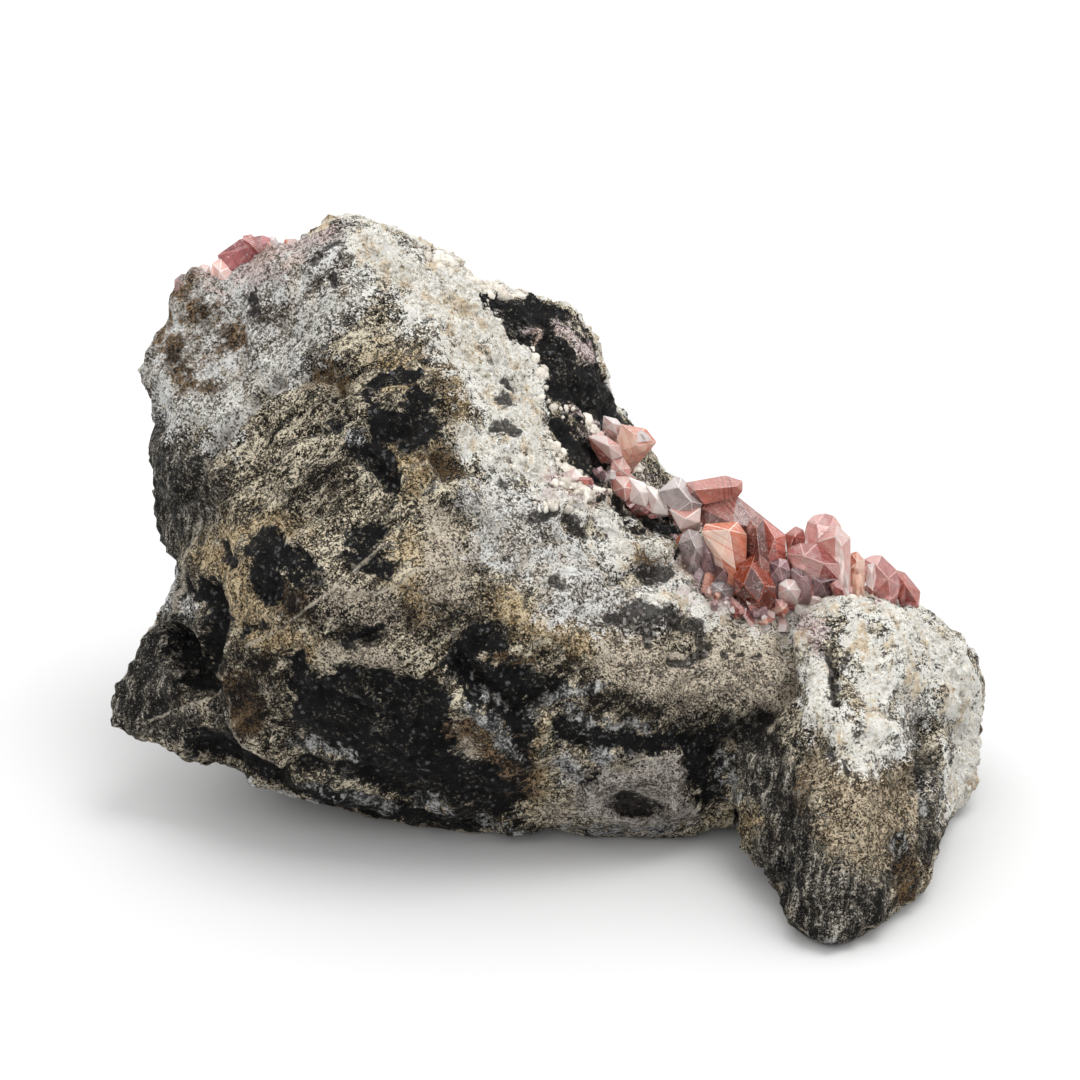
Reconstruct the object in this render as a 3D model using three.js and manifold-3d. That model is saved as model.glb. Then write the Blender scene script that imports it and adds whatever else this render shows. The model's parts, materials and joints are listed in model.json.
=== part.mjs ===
// A rhodochrosite specimen: one broken lump of banded host rock, with an open pocket in its
// right shoulder. Pink crystals grow from the rim and floor of the pocket, and two small
// clusters sit on the crown. Each cluster is intergrown, so it is one solid.
// Millimetres, +Z up, -Y towards the viewer. The lump rests on the plane z = 0.
import * as THREE from "three";
import { ConvexGeometry } from "three/addons/geometries/ConvexGeometry.js";
import { mergeVertices } from "three/addons/utils/BufferGeometryUtils.js";
import Module from "manifold-3d";

const wasm = await Module();
wasm.setup();

// ---------------------------------------------------------------- driving dimensions
const MASS_DETAIL = 14; // each of the icosahedron's faces is cut into (detail + 1)^2 triangles
const SPUR_DETAIL = 8;
const SURFACE_BLEND = 0.12; // radians over which the surface rounds off at a landmark
const SURFACE_EASE = 0.012; // how far the surface may pass a crowded landmark by
const CHIP_SIZE = 11; // width of the broken chips that roughen the rock
const CHIP_DEPTH = 3.2;
const CHIP_LEVEL = 0.28; // share of a chip that stands above the landmarks
const GRAIN_SIZE = 4;
const GRAIN_DEPTH = 0.6;
const SEAT_GAP = 0.4; // clearance between a crystal and the rock it grows on
const ROOT = 3; // how far a crystal's root reaches below its base point
const RHOMB_SLOPE = 1.2; // fall of a rhombohedral face per unit away from the axis
const FLOOR_DEPTH = 20; // thickness of the block that trims the rock at the resting plane

// The rock is two lobes grown into each other: the main mass, and the spur on its right that
// reaches forwards as a foot. Each lobe's surface passes through its landmarks, [x, y, z],
// which are read round the lobe feature by feature.
const LOBES = {
  mass: {
    centre: [-10, 16, 32],
    crown: [
      [-28, 29, 82.5],
      [-22, 30, 78.5],
      [-33, 30, 79.5],
      [-39, 32, 75.5],
      [-45.5, 32, 71.5],
      [-52, 30, 69.5],
    ],
    leftEdge: [
      [-54.5, 28, 64.5],
      [-56, 25, 59],
      [-55.5, 24, 51.5],
      [-55, 24, 42],
      [-52.5, 22, 34.5],
      [-51, 20, 30],
      [-55, 14, 28],
      [-57.5, 8, 24.5],
      [-59.5, 2, 20.5],
      [-61, -1, 16.5],
      [-61, -2, 14],
    ],
    underWedge: [
      [-49.5, -3, 13],
      [-43, -2, 8.5],
      [-54, 8, 14],
    ],
    bellyHem: [
      [-34.5, -4, 6],
      [-25.5, -7, 6],
      [-15.5, -8, 5],
      [-4.5, -8, 2.5],
      [3, -9, 5],
      [11.5, -9, 4],
      [20, -9, 3.5],
      [24, -9, 8],
    ],
    slope: [
      [-14.5, 33, 74.5],
      [-7.5, 36, 68.5],
      [3, 38, 64.5],
      [7.5, 36, 59],
      [9, 34, 53.5],
      [12.5, 44, 46],
      [16.5, 46, 36],
    ],
    pocketRim: [
      [-8.5, 31, 68.5],
      [-3, 25, 62],
      [0.5, 18, 54],
      [7, 12, 49],
      [14, 6, 42],
      [21, 2, 36.5],
      [28.5, 0, 31.5],
      [36, 4, 31],
    ],
    leftRidge: [
      [-41.5, 12, 56.5],
      [-45, 2, 45.5],
      [-46, -3, 37],
      [-45, -8, 27],
      [-43, -8, 17.5],
    ],
    leftFace: [
      [-51.5, 16, 44],
      [-50, 12, 36],
      [-53, 4, 26],
      [-50, -1, 21],
    ],
    front: [
      [-34, 18, 69.5],
      [-43, 22, 63],
      [-20, 20, 73],
      [-17, 8, 66],
      [-29, -2, 59.5],
      [-8.5, 6, 60.5],
      [-15, -8, 55],
      [-33, -12, 47.5],
      [-3, -8, 45.5],
      [-15, -17, 44],
      [11, -6, 38.5],
      [0, -15, 35.5],
      [-33, -17, 34.5],
      [-15, -20, 30],
      [14, -13, 29.5],
      [22.5, -8, 30],
      [1.5, -18, 24.5],
      [-29, -15, 21.5],
      [15.5, -15, 19.5],
      [25.5, -10, 20],
      [-14, -15, 15],
      [3, -14, 13],
    ],
    pocket: [
      [12, 28, 40],
      [20, 26, 33],
      [30, 22, 27],
      [42, 18, 22],
    ],
    pocketBack: [
      [22, 43, 31],
      [34, 39, 26],
      [46, 33, 22],
    ],
    back: [
      [-45, 42, 62],
      [-25, 46, 65],
      [-5, 48, 57],
      [-50, 38, 38],
      [-28, 48, 38],
      [0, 50, 34],
      [14, 49, 26],
      [30, 46, 19],
      [46, 36, 14],
      [-46, 30, 12],
      [-26, 40, 8],
      [0, 43, 6],
      [25, 42, 4],
      [44, 32, 4],
    ],
    insideSpur: [
      [44, -5, 25],
      [42, -6, 15],
      [48, 8, 14],
      [42, 2, 4],
      [50, 20, 14],
    ],
    underside: [
      [-28, 12, 0],
      [-12, 8, -2],
      [8, 10, -2],
      [-20, 30, -1],
      [0, 30, -2],
      [20, 28, -1],
    ],
  },
  spur: {
    centre: [46, -2, 16],
    top: [
      [37, 3, 33],
      [44, 6, 33.5],
      [51.5, 10, 29],
      [54.5, 15, 28],
      [57.5, 14, 26.5],
    ],
    rightEdge: [
      [61.5, 13, 22],
      [64, 10, 14.5],
      [63, 6, 4.5],
      [60, 2, 1.5],
      [60.5, 4, 14.5],
      [59.5, 0, 8.5],
    ],
    front: [
      [43.5, -8, 32],
      [41.5, -16, 28],
      [40, -24, 23],
      [39, -32, 16.5],
      [38.5, -37, 10],
      [49, -12, 26],
      [49, -21, 18],
      [48, -28, 11],
      [55, -8, 17.5],
      [56, -13, 11.5],
    ],
    leftSide: [
      [34.5, -4, 30],
      [34, -12, 24],
      [32, -18, 16.5],
      [34.5, -27, 10.5],
    ],
    hem: [
      [28, -15, 5],
      [31.5, -24, 2.5],
      [35.5, -34, 1.5],
      [38.5, -38, 1.5],
      [43.5, -36, 2.5],
      [49.5, -30, 3.5],
      [55, -22, 4.5],
      [57, -14, 5],
    ],
    behind: [
      [36, 8, 24],
      [46, 20, 22],
      [56, 22, 17],
      [40, 18, 12],
      [54, 24, 6],
      [30, 0, 12],
      [58, 16, 4],
    ],
    underside: [
      [41, -26, -1.5],
      [42, -12, 2],
      [50, 4, -1.5],
      [48, 16, 0],
      [34, 2, 4],
    ],
  },
};

// Crystals as [base, tip, width, spin in degrees, flatness]. A flatness of 1 is a regular prism.
// Neighbours in a list are grown together at the foot.
const CLUSTERS = {
  crystals_centre: {
    colour: 0xa9484a,
    crystals: [
      [[20, 14, 43.5], [28.5, 13, 47.5], 4.4, 20, 0.9],
      [[27.5, 13, 33], [25.5, 12.5, 42.5], 5.4, 0, 0.9],
      [[32, 11, 33], [27.5, 11.5, 46.5], 8.4, 10, 0.85],
      [[28, 9, 32], [26, 8, 41.5], 5.4, 70, 0.9],
      [[27, 6, 37], [23, 4.5, 46], 4.8, 40, 0.75],
      [[25, 5, 33.5], [23.5, 3, 39], 3.6, 0, 0.9],
      [[29, 5.5, 33], [27.5, 3.5, 39], 3.6, 25, 0.9],
      [[31.5, 6.5, 34], [30, 6, 46.5], 3.8, 0, 0.85],
      [[31, 5, 29.5], [29.5, 3, 43.5], 5.6, 25, 0.85],
      [[34, 7, 33], [33.5, 6, 40], 3.6, 50, 1],
    ],
  },
  crystals_right: {
    colour: 0xb4585a,
    crystals: [
      [[37, 12, 31.5], [36, 12, 42], 3.6, 45, 0.9],
      [[40, 10.5, 31], [41, 10, 44.5], 6.8, 5, 0.85],
      [[43, 8, 31.5], [43.5, 7, 43], 4.8, 35, 0.75],
      [[39, 8, 31.5], [37, 6, 41], 6.6, 20, 0.9],
      [[40.5, 6, 31.5], [41, 4.5, 38], 4.4, 30, 0.9],
      [[36.5, 6, 31.5], [35, 3, 37.5], 3.4, 0, 1],
    ],
  },
  crystals_shoulder: {
    colour: 0xb65d5c,
    crystals: [
      [[46.5, 12, 29.5], [45.5, 11, 35.5], 3.2, 0, 0.9],
      [[47.5, 13.5, 27.5], [47, 13, 36.5], 4.8, 15, 0.85],
      [[50, 15, 26.5], [50, 15, 35.5], 5.4, 50, 0.85],
      [[52.5, 15, 26], [53.5, 15, 32.5], 4.4, 20, 0.9],
    ],
  },
  crystals_upper: {
    colour: 0xc4675c,
    crystals: [
      [[9, 17.5, 47.5], [9.5, 17, 51.5], 3.4, 20, 0.9],
      [[10, 20, 48], [7.5, 19, 52.5], 4, 10, 0.75],
      [[12, 19.5, 45.5], [12, 19, 51], 4.2, 40, 0.85],
      [[10, 22, 48], [16.5, 22, 50.5], 4.6, 30, 0.85],
      [[13, 23, 48], [14.5, 22, 53], 3.4, 0, 0.9],
      [[11, 24, 49], [10.5, 23, 53], 2.8, 0, 0.9],
    ],
  },
  crystals_pale: {
    colour: 0xd9b3ab,
    crystals: [
      [[11, 14.5, 44], [10.5, 14.5, 49], 4.2, 0, 0.9],
      [[13.5, 13.5, 43], [13, 13, 48.5], 4.6, 25, 0.9],
      [[15.5, 13.5, 42], [15, 13.5, 47.5], 4.6, 40, 0.9],
      [[17.5, 12.5, 42], [17.5, 12, 47], 4.2, 10, 0.85],
      [[19, 11.5, 41.5], [19, 12, 49], 5.6, 30, 0.9],
      [[22, 11, 41], [21.5, 12, 47], 4, 15, 0.9],
    ],
  },
  crystals_rim: {
    colour: 0x8f7078,
    crystals: [
      [[22, 5.5, 37], [20, 4, 44], 4.4, 15, 0.9],
      [[22, 4, 35.5], [21.5, 2, 41], 3.8, 50, 0.9],
    ],
  },
  crystals_crown: {
    colour: 0x9a3f41,
    crystals: [
      [[-38.5, 33, 74.5], [-46, 31, 74.5], 4.6, 30, 0.8],
      [[-40, 33, 74], [-41.5, 34, 78], 3.6, 0, 0.9],
      [[-44, 33, 71.5], [-46, 33, 74.5], 3.6, 20, 0.9],
    ],
  },
  crystals_corner: {
    colour: 0xb06a66,
    crystals: [
      [[-47, 33, 70], [-47, 33.5, 73], 3.4, 0, 1],
      [[-49, 32, 69.5], [-49.5, 32, 73.5], 3.8, 15, 0.9],
      [[-51.5, 31, 68.5], [-52.5, 31, 71.8], 3.2, 40, 0.9],
    ],
  },
};

// ---------------------------------------------------------------- solids and joins

// A closed three.js geometry as a solid that can be cut and joined.
function solidOf(geometry) {
  const bare = geometry.clone();
  bare.deleteAttribute("normal");
  bare.deleteAttribute("uv");
  const merged = mergeVertices(bare, 1e-4);
  return new wasm.Manifold(
    new wasm.Mesh({
      numProp: 3,
      vertProperties: merged.getAttribute("position").array,
      triVerts: new Uint32Array(merged.index.array),
    }),
  );
}

// A solid as a three.js geometry with flat shading.
function geometryOf(solid) {
  const mesh = solid.getMesh();
  const indexed = new THREE.BufferGeometry()
    .setAttribute("position", new THREE.BufferAttribute(mesh.vertProperties, 3))
    .setIndex(new THREE.BufferAttribute(mesh.triVerts, 1));
  const geometry = indexed.toNonIndexed();
  geometry.computeVertexNormals();
  return geometry;
}

// ---------------------------------------------------------------- the rock's surface

// A repeatable number from 0 to 1 for a cell of a lattice.
function cellValue(x, y, z) {
  let h = Math.imul(x, 374761393) ^ Math.imul(y, 668265263) ^ Math.imul(z, 2147483647);
  h = Math.imul(h ^ (h >>> 13), 1274126177);
  return ((h ^ (h >>> 16)) >>> 0) / 4294967295;
}

// Smooth noise from -1 to 1, with lumps about one unit across.
function noise(p) {
  const cell = [Math.floor(p.x), Math.floor(p.y), Math.floor(p.z)];
  const share = [p.x - cell[0], p.y - cell[1], p.z - cell[2]].map((t) => t * t * (3 - 2 * t));
  let sum = 0;
  for (let corner = 0; corner < 8; corner++) {
    const step = [corner & 1, (corner >> 1) & 1, corner >> 2];
    const weight = step.reduce((w, s, k) => w * (s ? share[k] : 1 - share[k]), 1);
    sum += weight * cellValue(cell[0] + step[0], cell[1] + step[1], cell[2] + step[2]);
  }
  return 2 * sum - 1;
}

// Solves a square system of equations by elimination with row exchange.
function solve(rows, values) {
  const n = values.length;
  const m = rows.map((row, i) => [...row, values[i]]);
  for (let i = 0; i < n; i++) {
    let pivot = i;
    for (let r = i + 1; r < n; r++) if (Math.abs(m[r][i]) > Math.abs(m[pivot][i])) pivot = r;
    [m[i], m[pivot]] = [m[pivot], m[i]];
    for (let r = i + 1; r < n; r++) {
      const factor = m[r][i] / m[i][i];
      for (let c = i; c <= n; c++) m[r][c] -= factor * m[i][c];
    }
  }
  const x = new Array(n).fill(0);
  for (let i = n - 1; i >= 0; i--) {
    let sum = m[i][n];
    for (let c = i + 1; c < n; c++) sum -= m[i][c] * x[c];
    x[i] = sum / m[i][i];
  }
  return x;
}

// A lobe's radius in any direction from its centre, through its landmarks.
function radiusThrough(centre, landmarks) {
  const points = landmarks.map((p) => new THREE.Vector3(...p).sub(centre));
  const radii = points.map((p) => p.length());
  const ways = points.map((p) => p.clone().normalize());
  const mean = radii.reduce((a, b) => a + b) / radii.length;
  const kernel = (a, b) => Math.hypot(a.distanceTo(b), SURFACE_BLEND);
  const weights = solve(
    ways.map((a, i) => ways.map((b, j) => kernel(a, b) - (i === j ? SURFACE_EASE : 0))),
    radii.map((r) => r - mean),
  );
  return (way) => ways.reduce((r, w, i) => r + weights[i] * kernel(way, w), mean);
}

// One lobe of the rock, grown outwards by a margin.
function lobeSolid({ centre, ...features }, detail, margin) {
  const middle = new THREE.Vector3(...centre);
  const radius = radiusThrough(middle, Object.values(features).flat());
  const geometry = new THREE.IcosahedronGeometry(1, detail);
  const position = geometry.getAttribute("position");
  const way = new THREE.Vector3();
  for (let i = 0; i < position.count; i++) {
    way.fromBufferAttribute(position, i).normalize();
    const point = way.clone().multiplyScalar(radius(way)).add(middle);
    const chips = CHIP_DEPTH * (CHIP_LEVEL - Math.abs(noise(point.clone().divideScalar(CHIP_SIZE))));
    const grain = GRAIN_DEPTH * noise(point.clone().divideScalar(GRAIN_SIZE));
    point.addScaledVector(way, chips + grain + margin);
    position.setXYZ(i, point.x, point.y, point.z);
  }
  return solidOf(geometry);
}

// The whole rock grown outwards by a margin, and trimmed flat where it rests.
function rockSolid(margin) {
  const below = new THREE.BoxGeometry(200, 200, FLOOR_DEPTH);
  below.translate(0, 0, -FLOOR_DEPTH / 2 - margin);
  return lobeSolid(LOBES.mass, MASS_DETAIL, margin)
    .add(lobeSolid(LOBES.spur, SPUR_DETAIL, margin))
    .subtract(solidOf(below));
}

// ---------------------------------------------------------------- crystals

// One crystal along +Z: a six-sided prism whose two ends are three rhombohedral faces.
function crystalGeometry(length, width, flatness, margin) {
  const radius = width / 2 + margin;
  const points = [];
  for (const end of [1, -1]) {
    const apex = end > 0 ? length + margin : -ROOT - margin;
    points.push(new THREE.Vector3(0, 0, apex));
    for (let k = 0; k < 6; k++) {
      const turn = (k * Math.PI) / 3;
      const onFace = k % 2 === (end > 0 ? 0 : 1);
      const fall = RHOMB_SLOPE * radius * (onFace ? 1 : 0.5);
      points.push(
        new THREE.Vector3(
          radius * Math.cos(turn),
          radius * Math.sin(turn) * flatness,
          apex - end * fall,
        ),
      );
    }
  }
  return new ConvexGeometry(points);
}

// A crystal stood on its base point and turned to aim at its tip, grown outwards by a margin.
function placedCrystal([base, tip, width, spin, flatness], margin) {
  const from = new THREE.Vector3(...base);
  const aim = new THREE.Vector3(...tip).sub(from);
  const geometry = crystalGeometry(aim.length(), width, flatness, margin);
  geometry.rotateZ(THREE.MathUtils.degToRad(spin));
  const turn = new THREE.Quaternion().setFromUnitVectors(
    new THREE.Vector3(0, 0, 1),
    aim.normalize(),
  );
  geometry.applyQuaternion(turn);
  geometry.translate(from.x, from.y, from.z);
  return solidOf(geometry);
}

// The low crystal that grows between two neighbours and joins them.
function bridge([baseA, tipA, widthA], [baseB, tipB, widthB]) {
  const middle = (a, b) => a.map((value, k) => (value + b[k]) / 2);
  const base = middle(baseA, baseB);
  const tip = middle(base, middle(tipA, tipB));
  const gap = new THREE.Vector3(...baseA).distanceTo(new THREE.Vector3(...baseB));
  return [base, tip, Math.max(gap, (widthA + widthB) / 3), 30, 0.9];
}

// A cluster of crystals grown together, grown outwards by a margin.
function clusterSolid(crystals, margin) {
  const bridges = crystals.slice(1).map((crystal, i) => bridge(crystals[i], crystal));
  return [...crystals, ...bridges]
    .map((crystal) => placedCrystal(crystal, margin))
    .reduce((sum, one) => sum.add(one));
}

// ---------------------------------------------------------------- the specimen

const specimen = new THREE.Group();

function addPiece(name, solid, material) {
  const mesh = new THREE.Mesh(geometryOf(solid), new THREE.MeshStandardMaterial(material));
  mesh.name = name;
  specimen.add(mesh);
}

addPiece("matrix", rockSolid(0), {
  color: 0x8f8779,
  roughness: 0.9,
  metalness: 0,
  flatShading: true,
});

let taken = rockSolid(SEAT_GAP);
for (const [name, { colour, crystals }] of Object.entries(CLUSTERS)) {
  addPiece(name, clusterSolid(crystals, 0).subtract(taken), {
    color: colour,
    roughness: 0.25,
    metalness: 0,
    flatShading: true,
  });
  taken = taken.add(clusterSolid(crystals, SEAT_GAP));
}

// The origin is the middle of the whole specimen, on the plane it rests on.
const extent = new THREE.Box3().setFromObject(specimen);
const middle = extent.getCenter(new THREE.Vector3());
for (const piece of specimen.children) piece.geometry.translate(-middle.x, -middle.y, 0);

export default specimen;
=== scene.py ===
"""Looks of a rhodochrosite specimen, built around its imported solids.

The host rock is remeshed finely and weathered, and its minerals are laid out as zones that the
rock's finish blends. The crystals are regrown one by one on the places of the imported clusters.
Lengths are in millimetres until a mesh is made, and in metres from there on.
"""

import json
import logging
import math
from collections.abc import Sequence
from dataclasses import dataclass
from enum import Enum

import bmesh
import bpy
import numpy as np
from mathutils import Matrix, Vector, noise
from mathutils.bvhtree import BVHTree

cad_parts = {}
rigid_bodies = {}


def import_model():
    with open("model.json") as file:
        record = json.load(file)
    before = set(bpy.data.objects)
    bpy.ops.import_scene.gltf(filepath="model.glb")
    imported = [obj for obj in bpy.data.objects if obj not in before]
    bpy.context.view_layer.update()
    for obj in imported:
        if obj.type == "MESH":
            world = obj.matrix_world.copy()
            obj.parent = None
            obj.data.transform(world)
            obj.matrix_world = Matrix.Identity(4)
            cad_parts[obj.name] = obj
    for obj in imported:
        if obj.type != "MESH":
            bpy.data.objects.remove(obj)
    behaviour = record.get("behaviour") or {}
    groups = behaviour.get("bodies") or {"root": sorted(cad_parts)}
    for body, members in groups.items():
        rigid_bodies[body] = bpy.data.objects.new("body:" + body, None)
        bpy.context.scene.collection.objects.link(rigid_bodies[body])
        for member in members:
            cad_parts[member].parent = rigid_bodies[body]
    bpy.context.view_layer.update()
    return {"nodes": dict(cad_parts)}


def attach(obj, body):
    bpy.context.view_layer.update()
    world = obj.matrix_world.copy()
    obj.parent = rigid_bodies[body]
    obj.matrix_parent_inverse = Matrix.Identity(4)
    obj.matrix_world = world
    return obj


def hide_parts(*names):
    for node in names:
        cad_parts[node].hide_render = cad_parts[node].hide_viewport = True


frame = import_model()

LOG = logging.getLogger("rhodochrosite")
MM = 0.001
BODY = "root"
# Places below are counted from the specimen's own survey point, which lies here in the frame.
SURVEY_POINT = np.array([-1.49, -6.865, 0.0])

Point = tuple[float, float, float]
Spot = tuple[float, float]
Colour = tuple[float, float, float]
Stop = tuple[float, int, int, int]
Socket = bpy.types.NodeSocket


def linear(red: int, green: int, blue: int) -> Colour:
    """A display colour of 0 to 255 per channel as linear light."""
    share = [channel / 255 for channel in (red, green, blue)]
    return tuple(s / 12.92 if s <= 0.04045 else ((s + 0.055) / 1.055) ** 2.4 for s in share)


def smoothstep(low: float, high: float, value: np.ndarray) -> np.ndarray:
    """A soft step from 0 at low to 1 at high, which may lie below low."""
    share = np.clip((value - low) / (high - low), 0, 1)
    return share * share * (3 - 2 * share)


def new_object(name: str, mesh: bpy.types.Mesh) -> bpy.types.Object:
    """An object of a mesh, linked to the scene."""
    made = bpy.data.objects.new(name, mesh)
    bpy.context.scene.collection.objects.link(made)
    return made


# ------------------------------------------------------------------ shader expressions


class Shade:
    """A number that varies over a surface, written with Python's operators."""

    def __init__(self, tree: "ShaderTree", socket: Socket) -> None:
        """Wraps one output socket of a shader tree."""
        self.tree = tree
        self.socket = socket

    def _math(self, operation: str, *values: "Shade | float", clamp: bool = False) -> "Shade":
        """Adds a Math node.

        Args:
            operation: the Math node's operation.
            values: its inputs in order.
            clamp: whether the result is kept from 0 to 1.

        Returns:
            The node's result.
        """
        settings = {"operation": operation, "use_clamp": clamp}
        node = self.tree.node("ShaderNodeMath", settings, dict(enumerate(values)))
        return Shade(self.tree, node.outputs[0])

    def __add__(self, other: "Shade | float") -> "Shade":
        """This plus other."""
        return self._math("ADD", self, other)

    __radd__ = __add__

    def __mul__(self, other: "Shade | float") -> "Shade":
        """This times other."""
        return self._math("MULTIPLY", self, other)

    __rmul__ = __mul__

    def __sub__(self, other: "Shade | float") -> "Shade":
        """This less other."""
        return self._math("SUBTRACT", self, other)

    def __rsub__(self, other: float) -> "Shade":
        """Other less this."""
        return self._math("SUBTRACT", other, self)

    def at_least(self, other: "Shade | float") -> "Shade":
        """The higher of the two."""
        return self._math("MAXIMUM", self, other)

    def magnitude(self) -> "Shade":
        """This without its sign."""
        return self._math("ABSOLUTE", self)

    def ramp(self, low: float, high: float) -> "Shade":
        """A straight ramp from 0 at low to 1 at high, which may lie below low."""
        return self._math("DIVIDE", self - low, high - low, clamp=True)

    def step(self, low: float, high: float) -> "Shade":
        """A soft step from 0 at low to 1 at high, which may lie below low."""
        share = self.ramp(low, high)
        return share * share * (3 - 2 * share)


class ShaderTree:
    """The node tree of one material."""

    def __init__(self, name: str) -> None:
        """Makes an empty material with a Principled shader on its output."""
        self.material = bpy.data.materials.new(name)
        self.material.use_nodes = True
        self.nodes = self.material.node_tree.nodes
        self.links = self.material.node_tree.links
        self.nodes.clear()
        self.shader = self.node("ShaderNodeBsdfPrincipled", {}, {})
        self.output = self.node("ShaderNodeOutputMaterial", {}, {0: self.shader.outputs[0]})
        place = self.node("ShaderNodeTexCoord", {}, {}).outputs["Object"]
        self.place = self.vector("SCALE", {0: place, "Scale": 1 / MM})

    def node(self, kind: str, settings: dict, inputs: dict) -> bpy.types.Node:
        """Adds a node.

        Args:
            kind: the node's type name.
            settings: its properties, set first; "stops" are a colour ramp's.
            inputs: a value or an output socket for each input, by name or number.

        Returns:
            The new node.
        """
        node = self.nodes.new(kind)
        for key, value in settings.items():
            if key == "stops":
                self._fill_ramp(node.color_ramp, value)
            else:
                setattr(node, key, value)
        for key, value in inputs.items():
            source = value.socket if isinstance(value, Shade) else value
            if isinstance(source, Socket):
                self.links.new(source, node.inputs[key])
            else:
                node.inputs[key].default_value = source
        return node

    @staticmethod
    def _fill_ramp(ramp: bpy.types.ColorRamp, stops: Sequence[tuple[float, Colour]]) -> None:
        """Gives a colour ramp its stops."""
        while len(ramp.elements) < len(stops):
            ramp.elements.new(1.0)
        for element, (position, colour) in zip(ramp.elements, stops):
            element.position = position
            element.color = (*colour, 1)

    def vector(self, operation: str, inputs: dict) -> Socket:
        """The vector that a Vector Math node makes of its inputs."""
        return self.node("ShaderNodeVectorMath", {"operation": operation}, inputs).outputs[0]

    def attribute(self, name: str) -> Shade:
        """A number painted on the mesh."""
        node = self.node("ShaderNodeAttribute", {"attribute_name": name}, {})
        return Shade(self, node.outputs["Fac"])

    def painted(self, name: str) -> Socket:
        """A colour painted on the mesh."""
        return self.node("ShaderNodeAttribute", {"attribute_name": name}, {}).outputs["Color"]

    def clouds(self, size: float, detail: float = 3, rough: float = 0.55,
               place: Socket | None = None, shift: float = 0) -> Shade:
        """Noise from 0 to 1 with lumps of a size.

        Args:
            size: width of a lump in millimetres.
            detail: octaves of finer noise.
            rough: strength of the finer octaves.
            place: coordinates in millimetres, if not the object's own.
            shift: moves the pattern, so that two of one size differ.

        Returns:
            The noise.
        """
        at = self.vector("ADD", {0: place or self.place, 1: (shift, shift, shift)})
        inputs = {"Vector": at, "Scale": 1 / size, "Detail": detail, "Roughness": rough}
        return Shade(self, self.node("ShaderNodeTexNoise", {}, inputs).outputs["Fac"])

    def grains(self, size: float, place: Socket | None = None) -> Shade:
        """Grains of a size.

        Args:
            size: width of a grain's cell in millimetres.
            place: coordinates in millimetres, if not the object's own.

        Returns:
            A random number from 0 to 1 for each grain.
        """
        inputs = {"Vector": place or self.place, "Scale": 1 / size}
        node = self.node("ShaderNodeTexVoronoi", {}, inputs)
        split = self.node("ShaderNodeSeparateColor", {}, {0: node.outputs["Color"]})
        return Shade(self, split.outputs[0])

    def streaks(self, direction: np.ndarray, stretch: float) -> Socket:
        """Coordinates squeezed along a direction, so that patterns on them run along it.

        Args:
            direction: the way the streaks run, of length 1.
            stretch: how many times longer than wide a streak is.

        Returns:
            The coordinates in millimetres.
        """
        dot = self.node("ShaderNodeVectorMath", {"operation": "DOT_PRODUCT"},
                        {0: self.place, 1: tuple(direction)})
        shift = tuple(direction * (1 / stretch - 1))
        part = self.vector("SCALE", {0: shift, "Scale": dot.outputs["Value"]})
        return self.vector("ADD", {0: self.place, 1: part})

    def colours(self, value: Shade, *stops: Stop) -> Socket:
        """A colour for each value from 0 to 1.

        Args:
            value: the value.
            stops: each a value, and the red, green and blue from 0 to 255 that it gets.

        Returns:
            The colour.
        """
        filled = tuple((at, linear(*shade)) for at, *shade in stops)
        return self.node("ShaderNodeValToRGB", {"stops": filled}, {0: value}).outputs[0]

    def mix(self, share: Shade | float, low: Socket | Colour, high: Socket | Colour,
            blend: str = "MIX") -> Socket:
        """Two colours mixed.

        Args:
            share: how much of high shows.
            low: the colour where share is 0.
            high: the colour where share is 1.
            blend: the Mix node's blend type.

        Returns:
            The mixed colour.
        """
        low, high = ((*c, 1) if isinstance(c, tuple) else c for c in (low, high))
        settings = {"data_type": "RGBA", "blend_type": blend}
        return self.node("ShaderNodeMix", settings, {0: share, 6: low, 7: high}).outputs[2]

    def bump(self, height: Shade, depth: float, under: Socket | None = None) -> Socket:
        """A bumped normal.

        Args:
            height: the relief, from 0 to 1.
            depth: what a relief of 1 stands for, in millimetres.
            under: a normal to bump further.

        Returns:
            The normal.
        """
        inputs = {"Height": height, "Distance": depth * MM, "Strength": 1.0}
        if under is not None:
            inputs["Normal"] = under
        return self.node("ShaderNodeBump", {}, inputs).outputs[0]

    def finish(self, inputs: dict) -> bpy.types.Material:
        """Sets or links the Principled shader's inputs by name, and returns the material."""
        for key, value in inputs.items():
            source = value.socket if isinstance(value, Shade) else value
            if isinstance(source, Socket):
                self.links.new(source, self.shader.inputs[key])
            elif isinstance(source, tuple):
                self.shader.inputs[key].default_value = (*source, 1)
            else:
                self.shader.inputs[key].default_value = source
        return self.material


# ------------------------------------------------------------------ the viewer's side


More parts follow.
